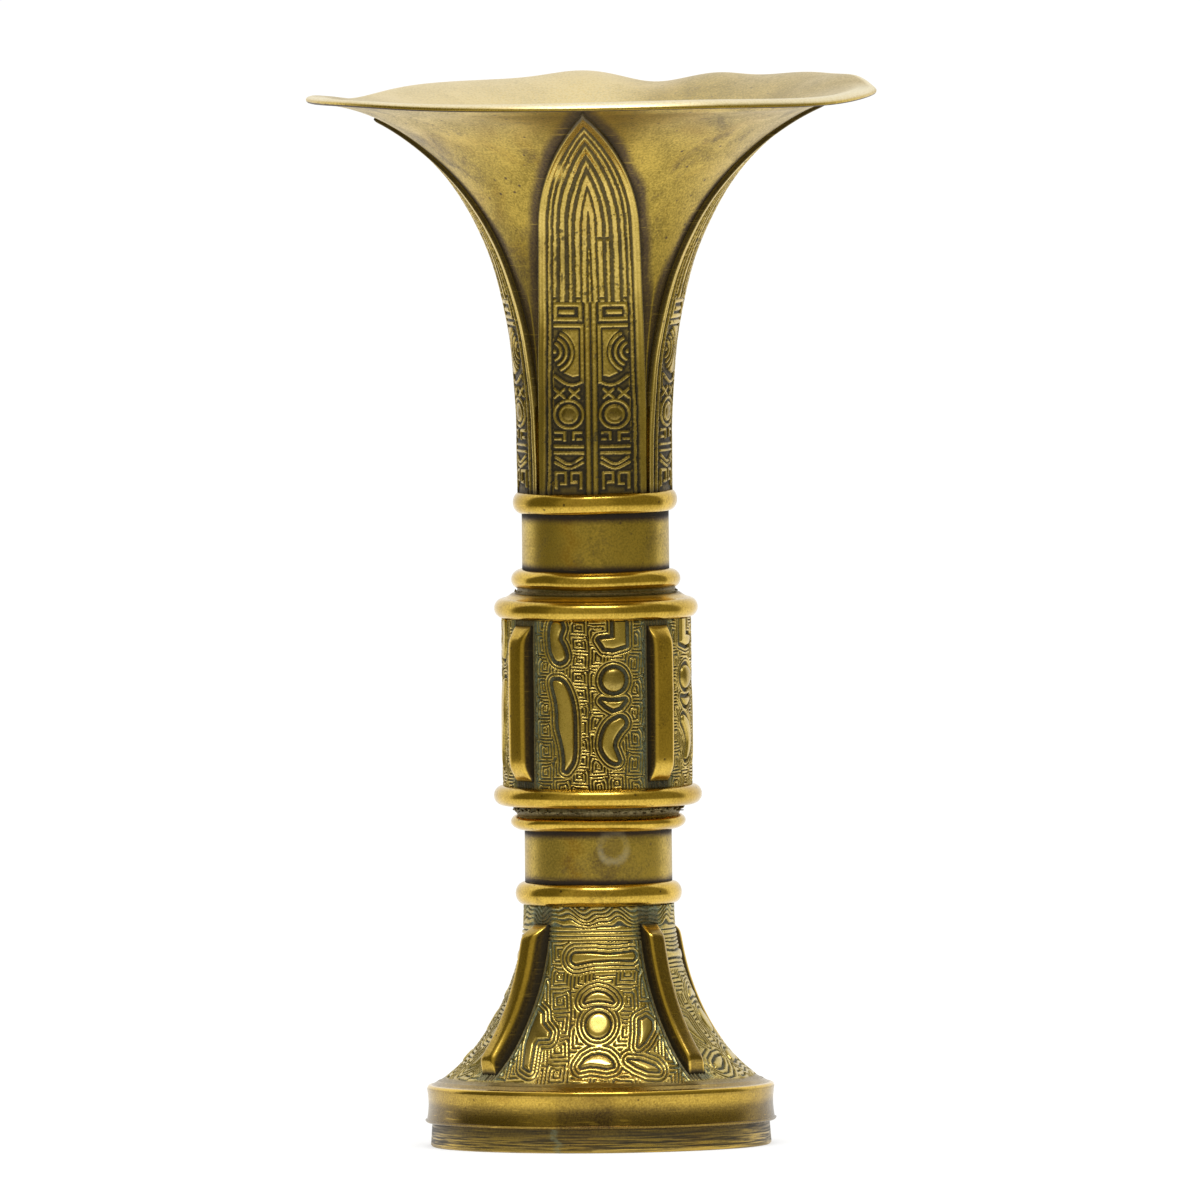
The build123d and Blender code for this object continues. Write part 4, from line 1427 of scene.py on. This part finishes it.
@dataclass
class Collars:
    """The two plain sleeves, the beads at their ends and the solder beside the knop."""

    sleeves: tuple[tuple[str, str, str], ...] = (
        ("lower_collar", "foot_bead", "lower_collar_bead"),
        ("upper_collar", "upper_collar_bead", "neck_bead"),
    )
    beads: tuple[tuple[str, float, float], ...] = (
        ("foot_bead", 0.0, 0.0),
        ("lower_collar_bead", 0.0, 0.0),
        ("upper_collar_bead", 0.0, 0.0),
        ("neck_bead", 0.45, 0.014),
    )
    seams: tuple[str, ...] = ("lower_solder_seam", "upper_solder_seam")
    spigot_length: float = 5.0
    narrowed: float = 0.6
    bead_waver: float = 1.1
    seam_rough: float = 0.22
    crumbs: int = 150
    dripped: str = "lower_collar"
    drip: tuple[float, float] = (12.0, 75.2)

    def soot(self, low: float, high: float, dripped: bool) -> Callable[..., Layers]:
        """Soot along the beads at both ends of a sleeve, the ring that a drip left on one of them, a painted
        warm reflection and painted sheen on one side.

        Args:
            low: where the bead below ends.
            high: where the bead above starts.
            dripped: whether this sleeve has the ring.

        Returns:
            A function from azimuths, radii and levels to the finish's layers.
        """

        def layers(angle: np.ndarray, radius: np.ndarray, level: np.ndarray) -> Layers:
            """Works out the soot, the ring, the painted reflection and the painted sheen.

            Args:
                angle: azimuths in radians.
                radius: distances from the axis.
                level: heights.

            Returns:
                The finish's layers.
            """
            outside = radius > BORE_RADIUS + 1.0
            near = np.minimum(level - low, high - level) + waver(angle, 3 * level, 31, 0.22)
            stain_and_shade, hollow = 0.95 * eased(2.8, 0.2, near) * outside, 0.9 * eased(1.0, 0.0, near) * outside
            drip_degrees, drip_z = self.drip
            beside = COLLAR_RADIUS * np.radians(degrees_from(angle, drip_degrees))
            away = np.hypot(beside, level - drip_z) + waver(9 * angle, 9 * level, 33, 0.25)
            ring = eased(2.2, 3.2, away) * eased(4.9, 3.9, away) * outside * dripped
            ring = ring * (0.1 + 0.2 * eased(1.0, -2.0, level - drip_z))
            core = eased(3.0, 1.6, away) * outside * dripped
            degrees = degrees_from(angle)
            # Painted warm reflection: a narrow upright stripe at the same azimuth on both sleeves.
            painted_warm_reflection = 0.8 * bell(degrees + 21 + 3 * np.sin(0.9 * level), 6.5) * outside
            # Painted sheen: the lower sleeve is brighter towards its right and the upper one towards its
            # left.
            rubbed = 0.1 + 0.32 * eased(-10.0, 45.0, degrees if dripped else -degrees)
            wear_and_sheen = rubbed * outside * (1 - stain_and_shade)
            stain_and_shade = np.maximum(stain_and_shade, 0.45 * core)
            return {"stain_and_shade": stain_and_shade, "hollow": hollow, "bloom_and_highlight": ring, "flush_and_reflection": painted_warm_reflection, "wear_and_sheen": wear_and_sheen}

        return layers

    def build(self) -> None:
        """Builds the sleeves, beads and seams."""
        self.build_sleeves()
        self.build_beads()
        self.build_seams()

    def build_sleeves(self) -> None:
        """Builds the sleeves, each a little narrower at its foot, inside the bead."""
        for seed, (node, below, above) in enumerate(self.sleeves):
            low, high, _ = span(node)
            foot = [(COLLAR_RADIUS - self.narrowed, low), (COLLAR_RADIUS, low + self.spigot_length)]
            rest = [(COLLAR_RADIUS, high), (BORE_RADIUS, high), (BORE_RADIUS, low)]
            profile = polyline(foot + rest, 0.7)
            # The bore is out of sight, so one point in five is enough there.
            profile = profile[(profile[:, 0] > BORE_RADIUS) | (np.arange(len(profile)) % 5 == 0)]
            soot = self.soot(span(below)[1], span(above)[0], node == self.dripped)
            settle(turned(node + "_sleeve", profile, 0.03, 20 + seed, soot), Finish.SATIN, node)

    def build_beads(self) -> None:
        """Builds the beads, at their own heights and leans."""
        plan = bead_plan()
        for seed, (node, raised, lean) in enumerate(self.beads):
            low, high, radius = span(node)
            sizes = {
                "Collar radius": COLLAR_RADIUS * MM,
                "Level": ((low + high) / 2 + raised) * MM,
                "Lean": lean,
                "Proud": (radius - COLLAR_RADIUS) * MM,
                "Height": (high - low) * MM,
                "Waver": self.bead_waver * MM,
                "Seed": 3.0 + 1.7 * seed,
                "Material": MATERIALS[Finish.POLISHED],
            }
            settle(plan.run(node + "_ring", sizes), Finish.POLISHED, node)

    def build_seams(self) -> None:
        """Builds the solder on both sides of the knop, with crumbs along it."""
        plan = crumb_plan()
        for seed, node in enumerate(self.seams):
            low, high, radius = span(node)
            inner, tall = COLLAR_RADIUS - 0.4, high - low
            corners = [(inner, -1.3), (inner + 1.7, -1.1), (radius - 0.8, 0.0), (radius - 0.3, 0.45 * tall)]
            corners += [(radius - 0.4, tall), (inner, tall)]
            profile = polyline([(r, low + z if seed == 0 else high - z) for r, z in corners], 0.4)
            settle(turned(node + "_fill", profile, self.seam_rough, 40 + 3 * seed), Finish.SOLDER, node)
            sizes = {
                "Radius": (radius - 0.45) * MM,
                "Level": (low + high) / 2 * MM,
                "Size": 0.26 * tall * MM,
                "Count": self.crumbs,
                "Seed": 8 + seed,
                "Material": MATERIALS[Finish.SOLDER],
            }
            settle(plan.run(node + "_crumbs", sizes), Finish.SOLDER, node)


@dataclass
class Knop:
    """The drum with its four panels and flanges, between two moulded rings."""

    corners: tuple[str, ...] = ("front_right", "back_right", "back_left", "front_left")
    first_flange: float = 40.0
    radius: float = 23.6
    bore: float = 21.4
    step_radius: float = 21.35
    step_height: float = 1.6
    hole_radius: float = 17.4
    roll: float = 2.5
    slope_end: float = 21.0
    uneven: float = 0.06
    bar_top_margin: float = 1.2
    bar_foot_margin: float = 1.6
    bar_points: int = 90
    bar: FlangeShape = FlangeShape(width=6.6, depth=3.6, top_slant=3.4, foot_slant=3.3)
    columns: int = 226
    rows: int = 250

    def motifs(self) -> tuple[Motif, ...]:
        """The figures of one panel, with heights above the drum's foot.

        Returns:
            The figures from the top down.
        """
        boot = (2.85, 37.4), (4.2, 35.3), (6.2, 35.1), (9.55, 36.0), (9.4, 42.2), (6.55, 42.2), (6.55, 37.8)
        moon = (3.3, 22.1), (4.5, 20.9), (6.1, 20.0), (7.7, 20.5), (9.05, 22.1), (7.35, 21.8), (5.1, 21.8)
        brow = (-8.3, 40.4, 1.45), (-8.8, 38.5, 1.25), (-8.7, 36.8, 1.2), (-8.1, 35.0, 1.6), (-7.5, 33.4, 1.5)
        curl = (7.9, 16.5, 1.2), (6.1, 15.0, 1.55), (4.9, 12.7, 1.45)
        curl_end = (4.7, 10.4, 1.35), (5.8, 8.2, 1.05), (6.8, 7.1, 0.5)
        horn = (-8.9, 26.6, 0.5), (-7.6, 25.3, 1.5), (-6.5, 22.2, 1.8), (-6.05, 19.1, 1.9)
        horn_side = (-5.95, 16.0, 1.95), (-5.55, 12.8, 1.55), (-5.25, 9.7, 1.2)
        horn_end = (-5.35, 7.2, 0.9), (-6.05, 5.0, 0.25)
        return (
            stroke(*brow),
            plate(*boot),
            stroke((6.35, 27.2, 2.85), rise=0.75, shoulder=2.6, tarnish=0.4),
            plate(*moon),
            stroke(*curl, *curl_end),
            stroke(*horn, *horn_side, *horn_end),
        )

    def build(self) -> None:
        """Builds the drum's panels, the flanges and the rings."""
        low, high, _ = span("knop_drum")
        level = np.linspace(low, high, self.rows)
        ones = np.ones(self.rows)
        wall = WallLine(self.radius * ones, level, ones, 0 * ones)
        turn = np.radians(np.linspace(-45, 45, self.columns))
        across = self.radius * turn[:, None] + 0 * level[None, :]
        beside = self.radius * math.radians(45) - self.bar.width / 2 - np.abs(across)
        panel = ChasedPanel(
            self.motifs(), ThunderGround(), floor=-0.4, crest=0.2, duty=(0.26, 0.62), rubbed=0.3
        )
        height, layers = panel.carve(across, level[None, :] - low + 0 * across, beside)
        # Painted shade of the gap under each flange's lower end, at the drum's foot.
        painted_shade_crevice = eased(3.0, 1.6, level[None, :] - low) * eased(0.9, -0.6, beside)
        layers["hollow"] = np.maximum(layers["hollow"], painted_shade_crevice)
        for corner, name in enumerate(self.corners):
            azimuth = self.first_flange + 90 * corner
            way = slice(None, None, 1 if corner % 2 else -1)
            piece = relief(
                "drum_panel_" + name,
                wall,
                turn + math.radians(azimuth + 45),
                height[way],
                {key: values[way] for key, values in layers.items()},
                self.radius - self.bore,
            )
            settle(piece, Finish.CHASED, "knop_drum")
            node = "knop_flange_" + name
            bar_top, bar_foot = high - self.bar_top_margin, low + self.bar_foot_margin
            drop = np.linspace(bar_top, bar_foot, self.bar_points)
            line = WallLine(self.radius + 0 * drop, drop, 1 + 0 * drop, 0 * drop)
            settle(self.bar.build(node + "_bar", line, azimuth), Finish.POLISHED, node)
        self.build_rings()

    def build_rings(self) -> None:
        """Builds the moulded rings above and below the drum."""
        low, high, radius = span("knop_lower_ring")
        roll, step, hole = self.roll, self.step_radius, self.hole_radius
        turn = np.linspace(-math.pi / 2, math.pi / 2, 24)
        bulge = np.stack([radius - roll + roll * np.cos(turn), low + roll + roll * np.sin(turn)], -1)
        top = low + 2 * roll
        rest = polyline([(radius - roll, top), (step, top), (step, high), (hole, high), (hole, low)], 1.0)
        profile = np.concatenate([bulge, rest[1:]])
        piece = turned("knop_lower_ring_moulding", profile, self.uneven, 51)
        settle(piece, Finish.POLISHED, "knop_lower_ring")

        low, high, radius = span("knop_upper_ring")
        ring_z = low + self.step_height
        turn = np.linspace(-0.5 * math.pi, 0.42 * math.pi, 24)
        bulge = np.stack([radius - roll + roll * np.cos(turn), ring_z + roll + roll * np.sin(turn)], -1)
        end_r, end_z = bulge[-1]
        part = np.linspace(0.1, 1.0, 8)
        slope = np.stack([end_r + (self.slope_end - end_r) * part, end_z + (high - end_z) * part**1.5], -1)
        rest = [(self.slope_end - 0.1, high), (hole, high), (hole, low), (step, low), (step, ring_z)]
        profile = np.concatenate([bulge, slope, polyline(rest, 1.0)])

        def soot(angle: np.ndarray, radius: np.ndarray, level: np.ndarray) -> Layers:
            """Darkens the slope above the ring.

            Args:
                angle: azimuths in radians.
                radius: distances from the axis.
                level: heights.

            Returns:
                The finish's layers.
            """
            stray = level + waver(angle, 0 * level, 58, 0.25)
            inward = eased(self.slope_end + 0.9, self.slope_end + 0.2, radius) * (level > end_z)
            return {"stain_and_shade": 0.25 * eased(high - 1.6, high - 0.3, stray), "hollow": 0.5 * inward}

        piece = turned("knop_upper_ring_moulding", profile, self.uneven, 55, soot)
        settle(piece, Finish.POLISHED, "knop_upper_ring")


@dataclass
class Foot:
    """The spreading foot with its panels and flanges, the plinth and the ring that it stands on."""

    corners: tuple[tuple[str, float, float, float], ...] = (
        ("front_right", 41.0, 0.16, 0.6),
        ("back_right", 124.0, 0.0, 0.42),
        ("back_left", 221.0, 0.05, 0.36),
        ("front_left", 311.0, 0.26, 0.29),
    )
    wall: float = 2.0
    streams_from: float = 51.9
    streams_pitch: float = 1.15
    plinth_radius: float = 43.9
    plinth_top_radius: float = 43.35
    plinth_bore: float = 40.6
    plinth_edge: float = 0.7
    waist_radius: float = 43.1
    shoulder_rise: float = 1.0
    shoulder_radius: float = 42.3
    ring_bore: float = 39.55
    tongue_radius: float = FOOT_BASE_RADIUS
    ring_top: float = 6.0
    mend_at: float = -15.5
    bar_top_margin: float = 4.4
    bar_foot_margin: float = 2.6
    bar_points: int = 110
    bar: FlangeShape = FlangeShape(width=5.6, depth=4.7, top_slant=3.0, foot_slant=2.1, thinning=0.9)
    columns: int = 236
    rows: int = 256

    def motifs(self) -> tuple[Motif, ...]:
        """The figures of one panel.

        Returns:
            The figures from the top down, with heights above the floor.
        """
        bar = (-4.5, 47.6, 1.2), (-0.9, 47.95, 0.9), (3.4, 47.9, 0.6), (7.1, 48.0, 0.7), (9.9, 48.1, 0.9)
        dome = (-2.1, 36.9), (-1.65, 38.0), (-0.5, 38.9), (1.1, 39.3), (2.9, 38.9), (4.2, 38.0), (5.0, 36.9)
        under_dome = (3.15, 37.3), (1.3, 37.5), (-0.6, 37.3)
        lens = (-2.6, 21.2), (-1.4, 22.9), (0.15, 23.8), (1.9, 24.05), (3.7, 23.6), (5.0, 22.5), (5.55, 21.4)
        under_lens = (4.0, 21.1), (1.9, 21.5), (-0.3, 21.7)
        horn = (-14.8, 34.8), (-13.6, 34.0), (-13.4, 31.6), (-11.2, 29.4), (-11.4, 28.1), (-14.6, 27.9)
        under_horn = (-15.6, 26.5), (-16.2, 20.4), (-17.9, 21.2), (-18.0, 26.3), (-16.9, 30.1)
        drop = (12.1, 32.2), (13.9, 33.0), (15.5, 31.9), (15.5, 30.0)
        under_drop = (13.6, 27.3), (11.9, 26.0), (12.2, 29.2)
        leaf = (9.5, 22.7), (12.5, 22.4), (16.2, 21.1), (17.5, 20.0), (14.7, 20.2), (11.6, 21.4)
        return (
            stroke(*bar, rise=0.3),
            plate(*dome, *under_dome, rise=0.3),
            stroke((1.4, 31.3, 2.9), rise=0.35, shoulder=1.0),
            plate(*lens, *under_lens, rise=0.35),
            plate(*horn, *under_horn, rise=0.3, tarnish=0.55),
            plate(*drop, *under_drop, rise=0.3, tarnish=0.5),
            plate(*leaf, rise=0.3, shoulder=0.7),
        )

    def build(self) -> None:
        """Builds the panels, flanges, plinth and ring."""
        wall = FOOT_FLARE.line(FOOT_TOP_Z, FOOT_BASE_Z, self.rows)
        bar_top, bar_foot = FOOT_TOP_Z - self.bar_top_margin, FOOT_BASE_Z + self.bar_foot_margin
        ground = ThunderGround(pitch=1.0, cell=5.8, seed=9)
        panel = ChasedPanel(
            self.motifs(),
            ground,
            moat=0.45,
            depth=0.4,
            floor=-0.3,
            crest=0.18,
            duty=(0.14, 0.48),
            rings=3.0,
        )
        for place, (name, start, lean, tarnish) in enumerate(self.corners):
            end = self.corners[(place + 1) % 4][1] + (360 if place == 3 else 0)
            middle, half = (start + end) / 2, (end - start) / 2
            turn = np.radians(np.linspace(-half, half, self.columns))
            across = wall.radius[None, :] * turn[:, None]
            level = wall.level[None, :] + 0 * across
            beside = wall.radius[None, :] * math.radians(half) - self.bar.width / 2 - np.abs(across)
            drawn = across if place % 2 else -across
            flow = 1.1 * np.sin(0.45 * drawn + 2.3) + 0.5 * np.sin(1.03 * drawn + 0.4 * level)
            wave = level - self.streams_from + flow * eased(54.4, 57.4, level)
            height, layers = panel.carve(drawn, level, beside, wave / self.streams_pitch)
            grey = 0.5 * eased(57.0, 60.0, level) + (0.3 if place % 2 == 0 else 0.0)
            layers["bloom_and_highlight"] = np.maximum(layers["bloom_and_highlight"], grey)
            fillet = level - FOOT_BASE_Z + waver(4 * turn[:, None], 0 * level, 69, 0.2)
            filled = eased(1.3, 0.7, fillet)
            height = height * (1 - filled)
            layers = {key: values * (1 - filled) for key, values in layers.items()}
            layers["stain_and_shade"] = np.maximum(layers["stain_and_shade"], 0.6 * filled)
            piece = relief("foot_panel_" + name, wall, turn + math.radians(middle), height, layers, self.wall)
            settle(piece, Finish.CHASED, "foot_cone")
            node = "foot_flange_" + name
            line = FOOT_FLARE.line(bar_top, bar_foot, self.bar_points)
            bar = replace(self.bar, tarnish=tarnish)
            settle(bar.build(node + "_bar", line, start, lean), Finish.POLISHED, node)
        self.build_base()

    def build_base(self) -> None:
        """Builds the plinth and the foot ring."""
        low, high, _ = span("foot_plinth")
        shoulder, edge = high - self.shoulder_rise, self.plinth_edge
        face_z = np.linspace(low + 0.9, shoulder - 0.9, 16)
        waist = self.waist_radius + 0.45 * ((face_z - (low + shoulder) / 2) / 4.2) ** 2
        turn = np.linspace(0, math.pi / 2, 6)
        foot_r, top_r, bore = self.plinth_radius - edge, self.plinth_top_radius - edge, self.plinth_bore
        foot_edge = np.stack([foot_r + edge * np.sin(turn), low + edge - edge * np.cos(turn)], -1)
        top_edge = np.stack([top_r + edge * np.cos(turn), shoulder - edge + edge * np.sin(turn)], -1)
        inner_r = self.shoulder_radius - 0.2
        rest = [(inner_r, shoulder + 0.05), (bore, high), (bore, low), (inner_r + 0.3, low)]
        rest = polyline(rest, 0.8)
        profile = np.concatenate([foot_edge, np.stack([waist, face_z], -1), top_edge, rest[:-1]])

        def tarnish(angle: np.ndarray, radius: np.ndarray, level: np.ndarray) -> Layers:
            """Dulls the shoulder and the face with tarnish and painted shade, with a painted shadow under the
            top edge and a bright line on it, rubbed and painted as a highlight.

            Args:
                angle: azimuths in radians.
                radius: distances from the axis.
                level: heights.

            Returns:
                The finish's layers.
            """
            degrees, below = degrees_from(angle), level - shoulder
            in_front = radius > self.shoulder_radius
            # Painted light on the face: a darker band at the front, whose edge is a painted reflection, and
            # painted shade growing towards the sides; the rest is tarnish.
            painted_reflection_patch = eased(-15.5, -14.0, degrees) * eased(6.0, 2.0, degrees)
            dull = 0.34 + 0.14 * painted_reflection_patch + 0.05 * np.sin(5 * angle + 0.4)
            dull = dull + 0.07 * eased(30.0, 75.0, np.abs(degrees))
            # Painted shade over the lower part of the face.
            dull = dull + 0.3 * eased(-2.9, -5.2, below + waver(3 * angle, 0 * level, 67, 0.3))
            face = dull * in_front * (below < -0.5)
            # A painted shadow line under the top edge.
            painted_shadow_under_edge = 0.75 * bell(below + 1.2, 0.3) * in_front
            on_top = 0.58 * eased(self.shoulder_radius + 0.4, self.shoulder_radius, radius) * (below > -0.4)
            # A rubbed line along the top edge that also serves as a painted highlight.
            bright = bell(below + 0.25, 0.3) * (radius > self.shoulder_radius + 0.2)
            return {"stain_and_shade": np.maximum.reduce([face, painted_shadow_under_edge, on_top]), "wear_and_sheen": bright}

        settle(turned("foot_plinth_moulding", profile, 0.07, 61, tarnish), Finish.POLISHED, "foot_plinth")

        low, high, radius = span("foot_ring")
        top, bore, tongue = self.ring_top, self.ring_bore, self.tongue_radius
        corners = [(bore, low), (radius - 0.4, low), (radius, low + 0.4), (radius - 0.4, top)]
        profile = polyline([*corners, (tongue, top), (tongue, high), (bore, high)], 0.7)

        def mended(angle: np.ndarray, radius: np.ndarray, level: np.ndarray) -> Layers:
            """Darkens the ring upwards, and shows where its ends were soldered together.

            Args:
                angle: azimuths in radians.
                radius: distances from the axis; not used.
                level: heights.

            Returns:
                The finish's layers.
            """
            slanted = degrees_from(angle) + 0.5 * (level - 3.0)
            joint = eased(1.6, 0.4, np.abs(slanted - self.mend_at + 0.8 * np.sin(2 * level)))
            wear_and_sheen = 0.7 * eased(1.2, 0.3, level)
            return {"stain_and_shade": 0.66 * eased(1.6, 5.0, level), "bloom_and_highlight": 0.7 * joint, "wear_and_sheen": wear_and_sheen}

        settle(turned("foot_ring_band", profile, 0.06, 65, mended), Finish.BASE, "foot_ring")


@dataclass
class Studio:
    """A pale floor, soft light from above and behind, and a dim room on the camera's side."""

    target: tuple[float, float, float] = (1.0, 0.0, 136.3)
    frame_mm: float = 300.0
    distance: float = 3.0
    elevation: float = 3.0
    roll: float = -0.55
    room_from: float = -115.0
    room_to: float = 116.0
    ahead: tuple[float, float] = (-55.0, 19.0)
    ahead_level: float = 0.37
    left_level: float = 0.17
    right_level: float = 0.27
    ceiling_level: float = 1.5
    far_ceiling_level: float = 0.6
    eye_height: float = 0.14
    room_radius: float = 1.35
    room_height: float = 1.75
    room_floor: tuple[float, float] = (0.12, 1.18)
    floor_reach: float = 9.0
    floor_drop: float = 2e-5
    lamp_place: tuple[float, float, float] = (0.02, -0.46, 1.3)
    lamp_size: tuple[float, float] = (0.6, 0.34)
    lamp_watts: float = 6.0
    lamp_aim: tuple[float, float, float] = (0.0, 0.0, 0.12)

    def build(self) -> None:
        """Sets the floor, room, lamps, world and camera."""
        self.build_floor()
        self.build_room()
        self.build_light()
        self.build_camera()
        bpy.context.scene.view_settings.view_transform = "Standard"

    def plain(self, name: str, points: list, faces: list) -> bpy.types.Object:
        """A stage object of a few faces, in metres.

        Args:
            name: its name.
            points: its corners.
            faces: the corners of each face.

        Returns:
            The object.
        """
        mesh = bpy.data.meshes.new(name)
        mesh.from_pydata(points, [], faces)
        made = placed(name, mesh)
        return made

    def bare_material(self, name: str) -> bpy.types.Material:
        """A material whose tree holds only its output.

        Args:
            name: its name.

        Returns:
            The material.
        """
        made = bpy.data.materials.new(name)
        made.use_nodes = True
        made.node_tree.nodes.remove(made.node_tree.nodes["Principled BSDF"])
        return made

    def met_directly(self, tree: bpy.types.NodeTree) -> bpy.types.NodeSocket:
        """Gives 1 to the camera and to reflections in the metal, and 0 to other light.

        Args:
            tree: the tree that gets the nodes.

        Returns:
            The socket with that value.
        """
        path = add_node(tree, "ShaderNodeLightPath").outputs
        rays = path["Is Camera Ray"], path["Is Glossy Ray"]
        return add_node(tree, MATH, rays, operation="MAXIMUM").outputs[0]

    def build_floor(self) -> None:
        """Lays a pale matt floor, white to the camera and in the metal, softly shaded and open from below."""
        far, low = self.floor_reach, -self.floor_drop
        corners = [(-far, -far, low), (far, -far, low), (far, far, low), (-far, far, low)]
        floor = self.plain("floor", corners, [(0, 1, 2, 3)])
        paper = self.bare_material("matt_white_paper")
        tree = paper.node_tree
        matt = add_node(tree, "ShaderNodeBsdfDiffuse", {"Color": linear("#E8E8E6")}).outputs[0]
        shaded = add_node(tree, "ShaderNodeBsdfDiffuse", {"Color": linear("#B4B4B3")}).outputs[0]
        glow = add_node(tree, "ShaderNodeEmission", {"Strength": 0.6}).outputs[0]
        white = add_node(tree, "ShaderNodeAddShader", (shaded, glow)).outputs[0]
        both = add_node(tree, "ShaderNodeMixShader", (self.met_directly(tree), matt, white)).outputs[0]
        below = add_node(tree, "ShaderNodeNewGeometry").outputs["Backfacing"]
        clear = add_node(tree, "ShaderNodeBsdfTransparent").outputs[0]
        open_below = add_node(tree, "ShaderNodeMixShader", (below, both, clear)).outputs[0]
        tree.links.new(open_below, tree.nodes["Material Output"].inputs["Surface"])
        floor.data.materials.append(paper)

    def room_glow(self, angle: np.ndarray, radius: np.ndarray, level: np.ndarray) -> np.ndarray:
        """How bright the room is, against white paper: dim, lighter ahead, and white near the vase's foot.

        Args:
            angle: azimuths in radians.
            radius: distances from the axis, in metres.
            level: heights, in metres.

        Returns:
            A brightness for each place.
        """
        degrees = np.degrees(angle)
        start, end = self.ahead
        ahead = eased(start - 8, start + 8, degrees) * eased(end + 8, end - 8, degrees)
        sides = self.left_level + (self.right_level - self.left_level) * eased(-20.0, 20.0, degrees)
        walls = sides + (self.ahead_level - sides) * ahead
        raised = np.degrees(np.arctan2(level - self.eye_height, radius))
        brighter = self.ceiling_level - self.far_ceiling_level
        over = self.far_ceiling_level + brighter * eased(62.0, 34.0, np.abs(degrees))
        walls = walls + (over - walls) * eased(45.0, 58.0, raised)
        near = eased(0.7, 0.16, radius) * (level < 0.1)
        left_end = eased(self.room_from + 8, self.room_from, degrees)
        ends = np.maximum(left_end, eased(self.room_to - 8, self.room_to, degrees))
        return walls + (1 - walls) * np.maximum(near, ends * (raised < 45))

    def build_room(self) -> None:
        """Sets a dim room round the camera's side, like half of a bowl, which only reflections see."""
        part = np.linspace(0, 1, 24)
        near, width = self.room_floor
        turn = np.linspace(0, math.pi / 2, 24)
        radius = np.concatenate([near + width * part, self.room_radius * np.cos(turn)])[None, :]
        level = np.concatenate([0.002 + 0.03 * part, 0.05 + self.room_height * np.sin(turn)])[None, :]
        angle = np.radians(np.linspace(self.room_from, self.room_to, 90))[:, None]
        points = around(radius, level, angle)
        count, line = points.shape[:2]
        row, column = np.meshgrid(np.arange(count - 1), np.arange(line - 1), indexing="ij")
        first = row * line + column
        faces = np.stack([first, first + 1, first + line + 1, first + line], -1)
        room = self.plain("dim_room", points.reshape(-1, 3).tolist(), faces.reshape(-1, 4).tolist())
        glow = self.room_glow(angle, radius, level).astype(np.float32)
        room.data.attributes.new("glow", "FLOAT", "POINT").data.foreach_set("value", glow.ravel())
        cloth = self.bare_material("dim_room_cloth")
        tree = cloth.node_tree
        strength = add_node(tree, "ShaderNodeAttribute", attribute_name="glow").outputs["Fac"]
        tints = {0: strength, 6: linear("#FBEF8C"), 7: linear("#FFFFFF")}
        tint = add_node(tree, "ShaderNodeMix", tints, data_type="RGBA").outputs[2]
        light = add_node(tree, "ShaderNodeEmission", {"Color": tint, "Strength": strength}).outputs[0]
        tree.links.new(light, tree.nodes["Material Output"].inputs["Surface"])
        room.data.materials.append(cloth)
        room.visible_camera = room.visible_diffuse = room.visible_shadow = room.visible_transmission = False

    def build_light(self) -> None:
        """Hangs a soft lamp overhead and makes the world white."""
        lamp = bpy.data.lights.new("overhead_softbox", "AREA")
        lamp.shape, lamp.energy = "RECTANGLE", self.lamp_watts
        lamp.size, lamp.size_y = self.lamp_size
        hung = placed("overhead_softbox", lamp)
        hung.location = self.lamp_place
        hung.rotation_euler = (Vector(self.lamp_aim) - hung.location).to_track_quat("-Z", "Y").to_euler()
        world = bpy.data.worlds.new("white_studio")
        world.use_nodes = True
        tree = world.node_tree
        strength = add_node(tree, RANGE, {0: self.met_directly(tree), 3: 0.95, 4: 1.0}).outputs[0]
        tree.links.new(strength, tree.nodes["Background"].inputs["Strength"])
        tree.nodes["Background"].inputs["Color"].default_value = (1.0, 1.0, 1.0, 1.0)
        bpy.context.scene.world = world

    def build_camera(self) -> None:
        """Stands the camera where the photograph was taken from, from so far off that nothing converges."""
        data = bpy.data.cameras.new("camera")
        data.type = "ORTHO"
        data.ortho_scale = self.frame_mm * MM
        data.clip_start, data.clip_end = 0.1, 30.0
        camera = placed("camera", data)
        target = Vector(self.target) * MM
        up = math.radians(self.elevation)
        camera.location = target + self.distance * Vector((0, -math.cos(up), math.sin(up)))
        facing = (target - camera.location).to_track_quat("-Z", "Y")
        camera.rotation_euler = (facing @ Quaternion((0, 0, 1), math.radians(self.roll))).to_euler()
        bpy.context.scene.camera = camera


def main() -> None:
    """Builds the vase from the foot up, then the studio."""
    logging.basicConfig(level=logging.INFO, format="%(name)s %(message)s")
    for brass in FINISHES:
        MATERIALS[brass.finish] = brass.material()
    Foot().build()
    Collars().build()
    Knop().build()
    neck = TrumpetNeck()
    blades = NeckBlades(neck)
    neck.build(blades)
    blades.build()
    cup_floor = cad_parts["cup_floor"].data
    cup_floor.materials.clear()
    cup_floor.materials.append(MATERIALS[Finish.INNER])
    Studio().build()


if __name__ == "__main__":
    main()
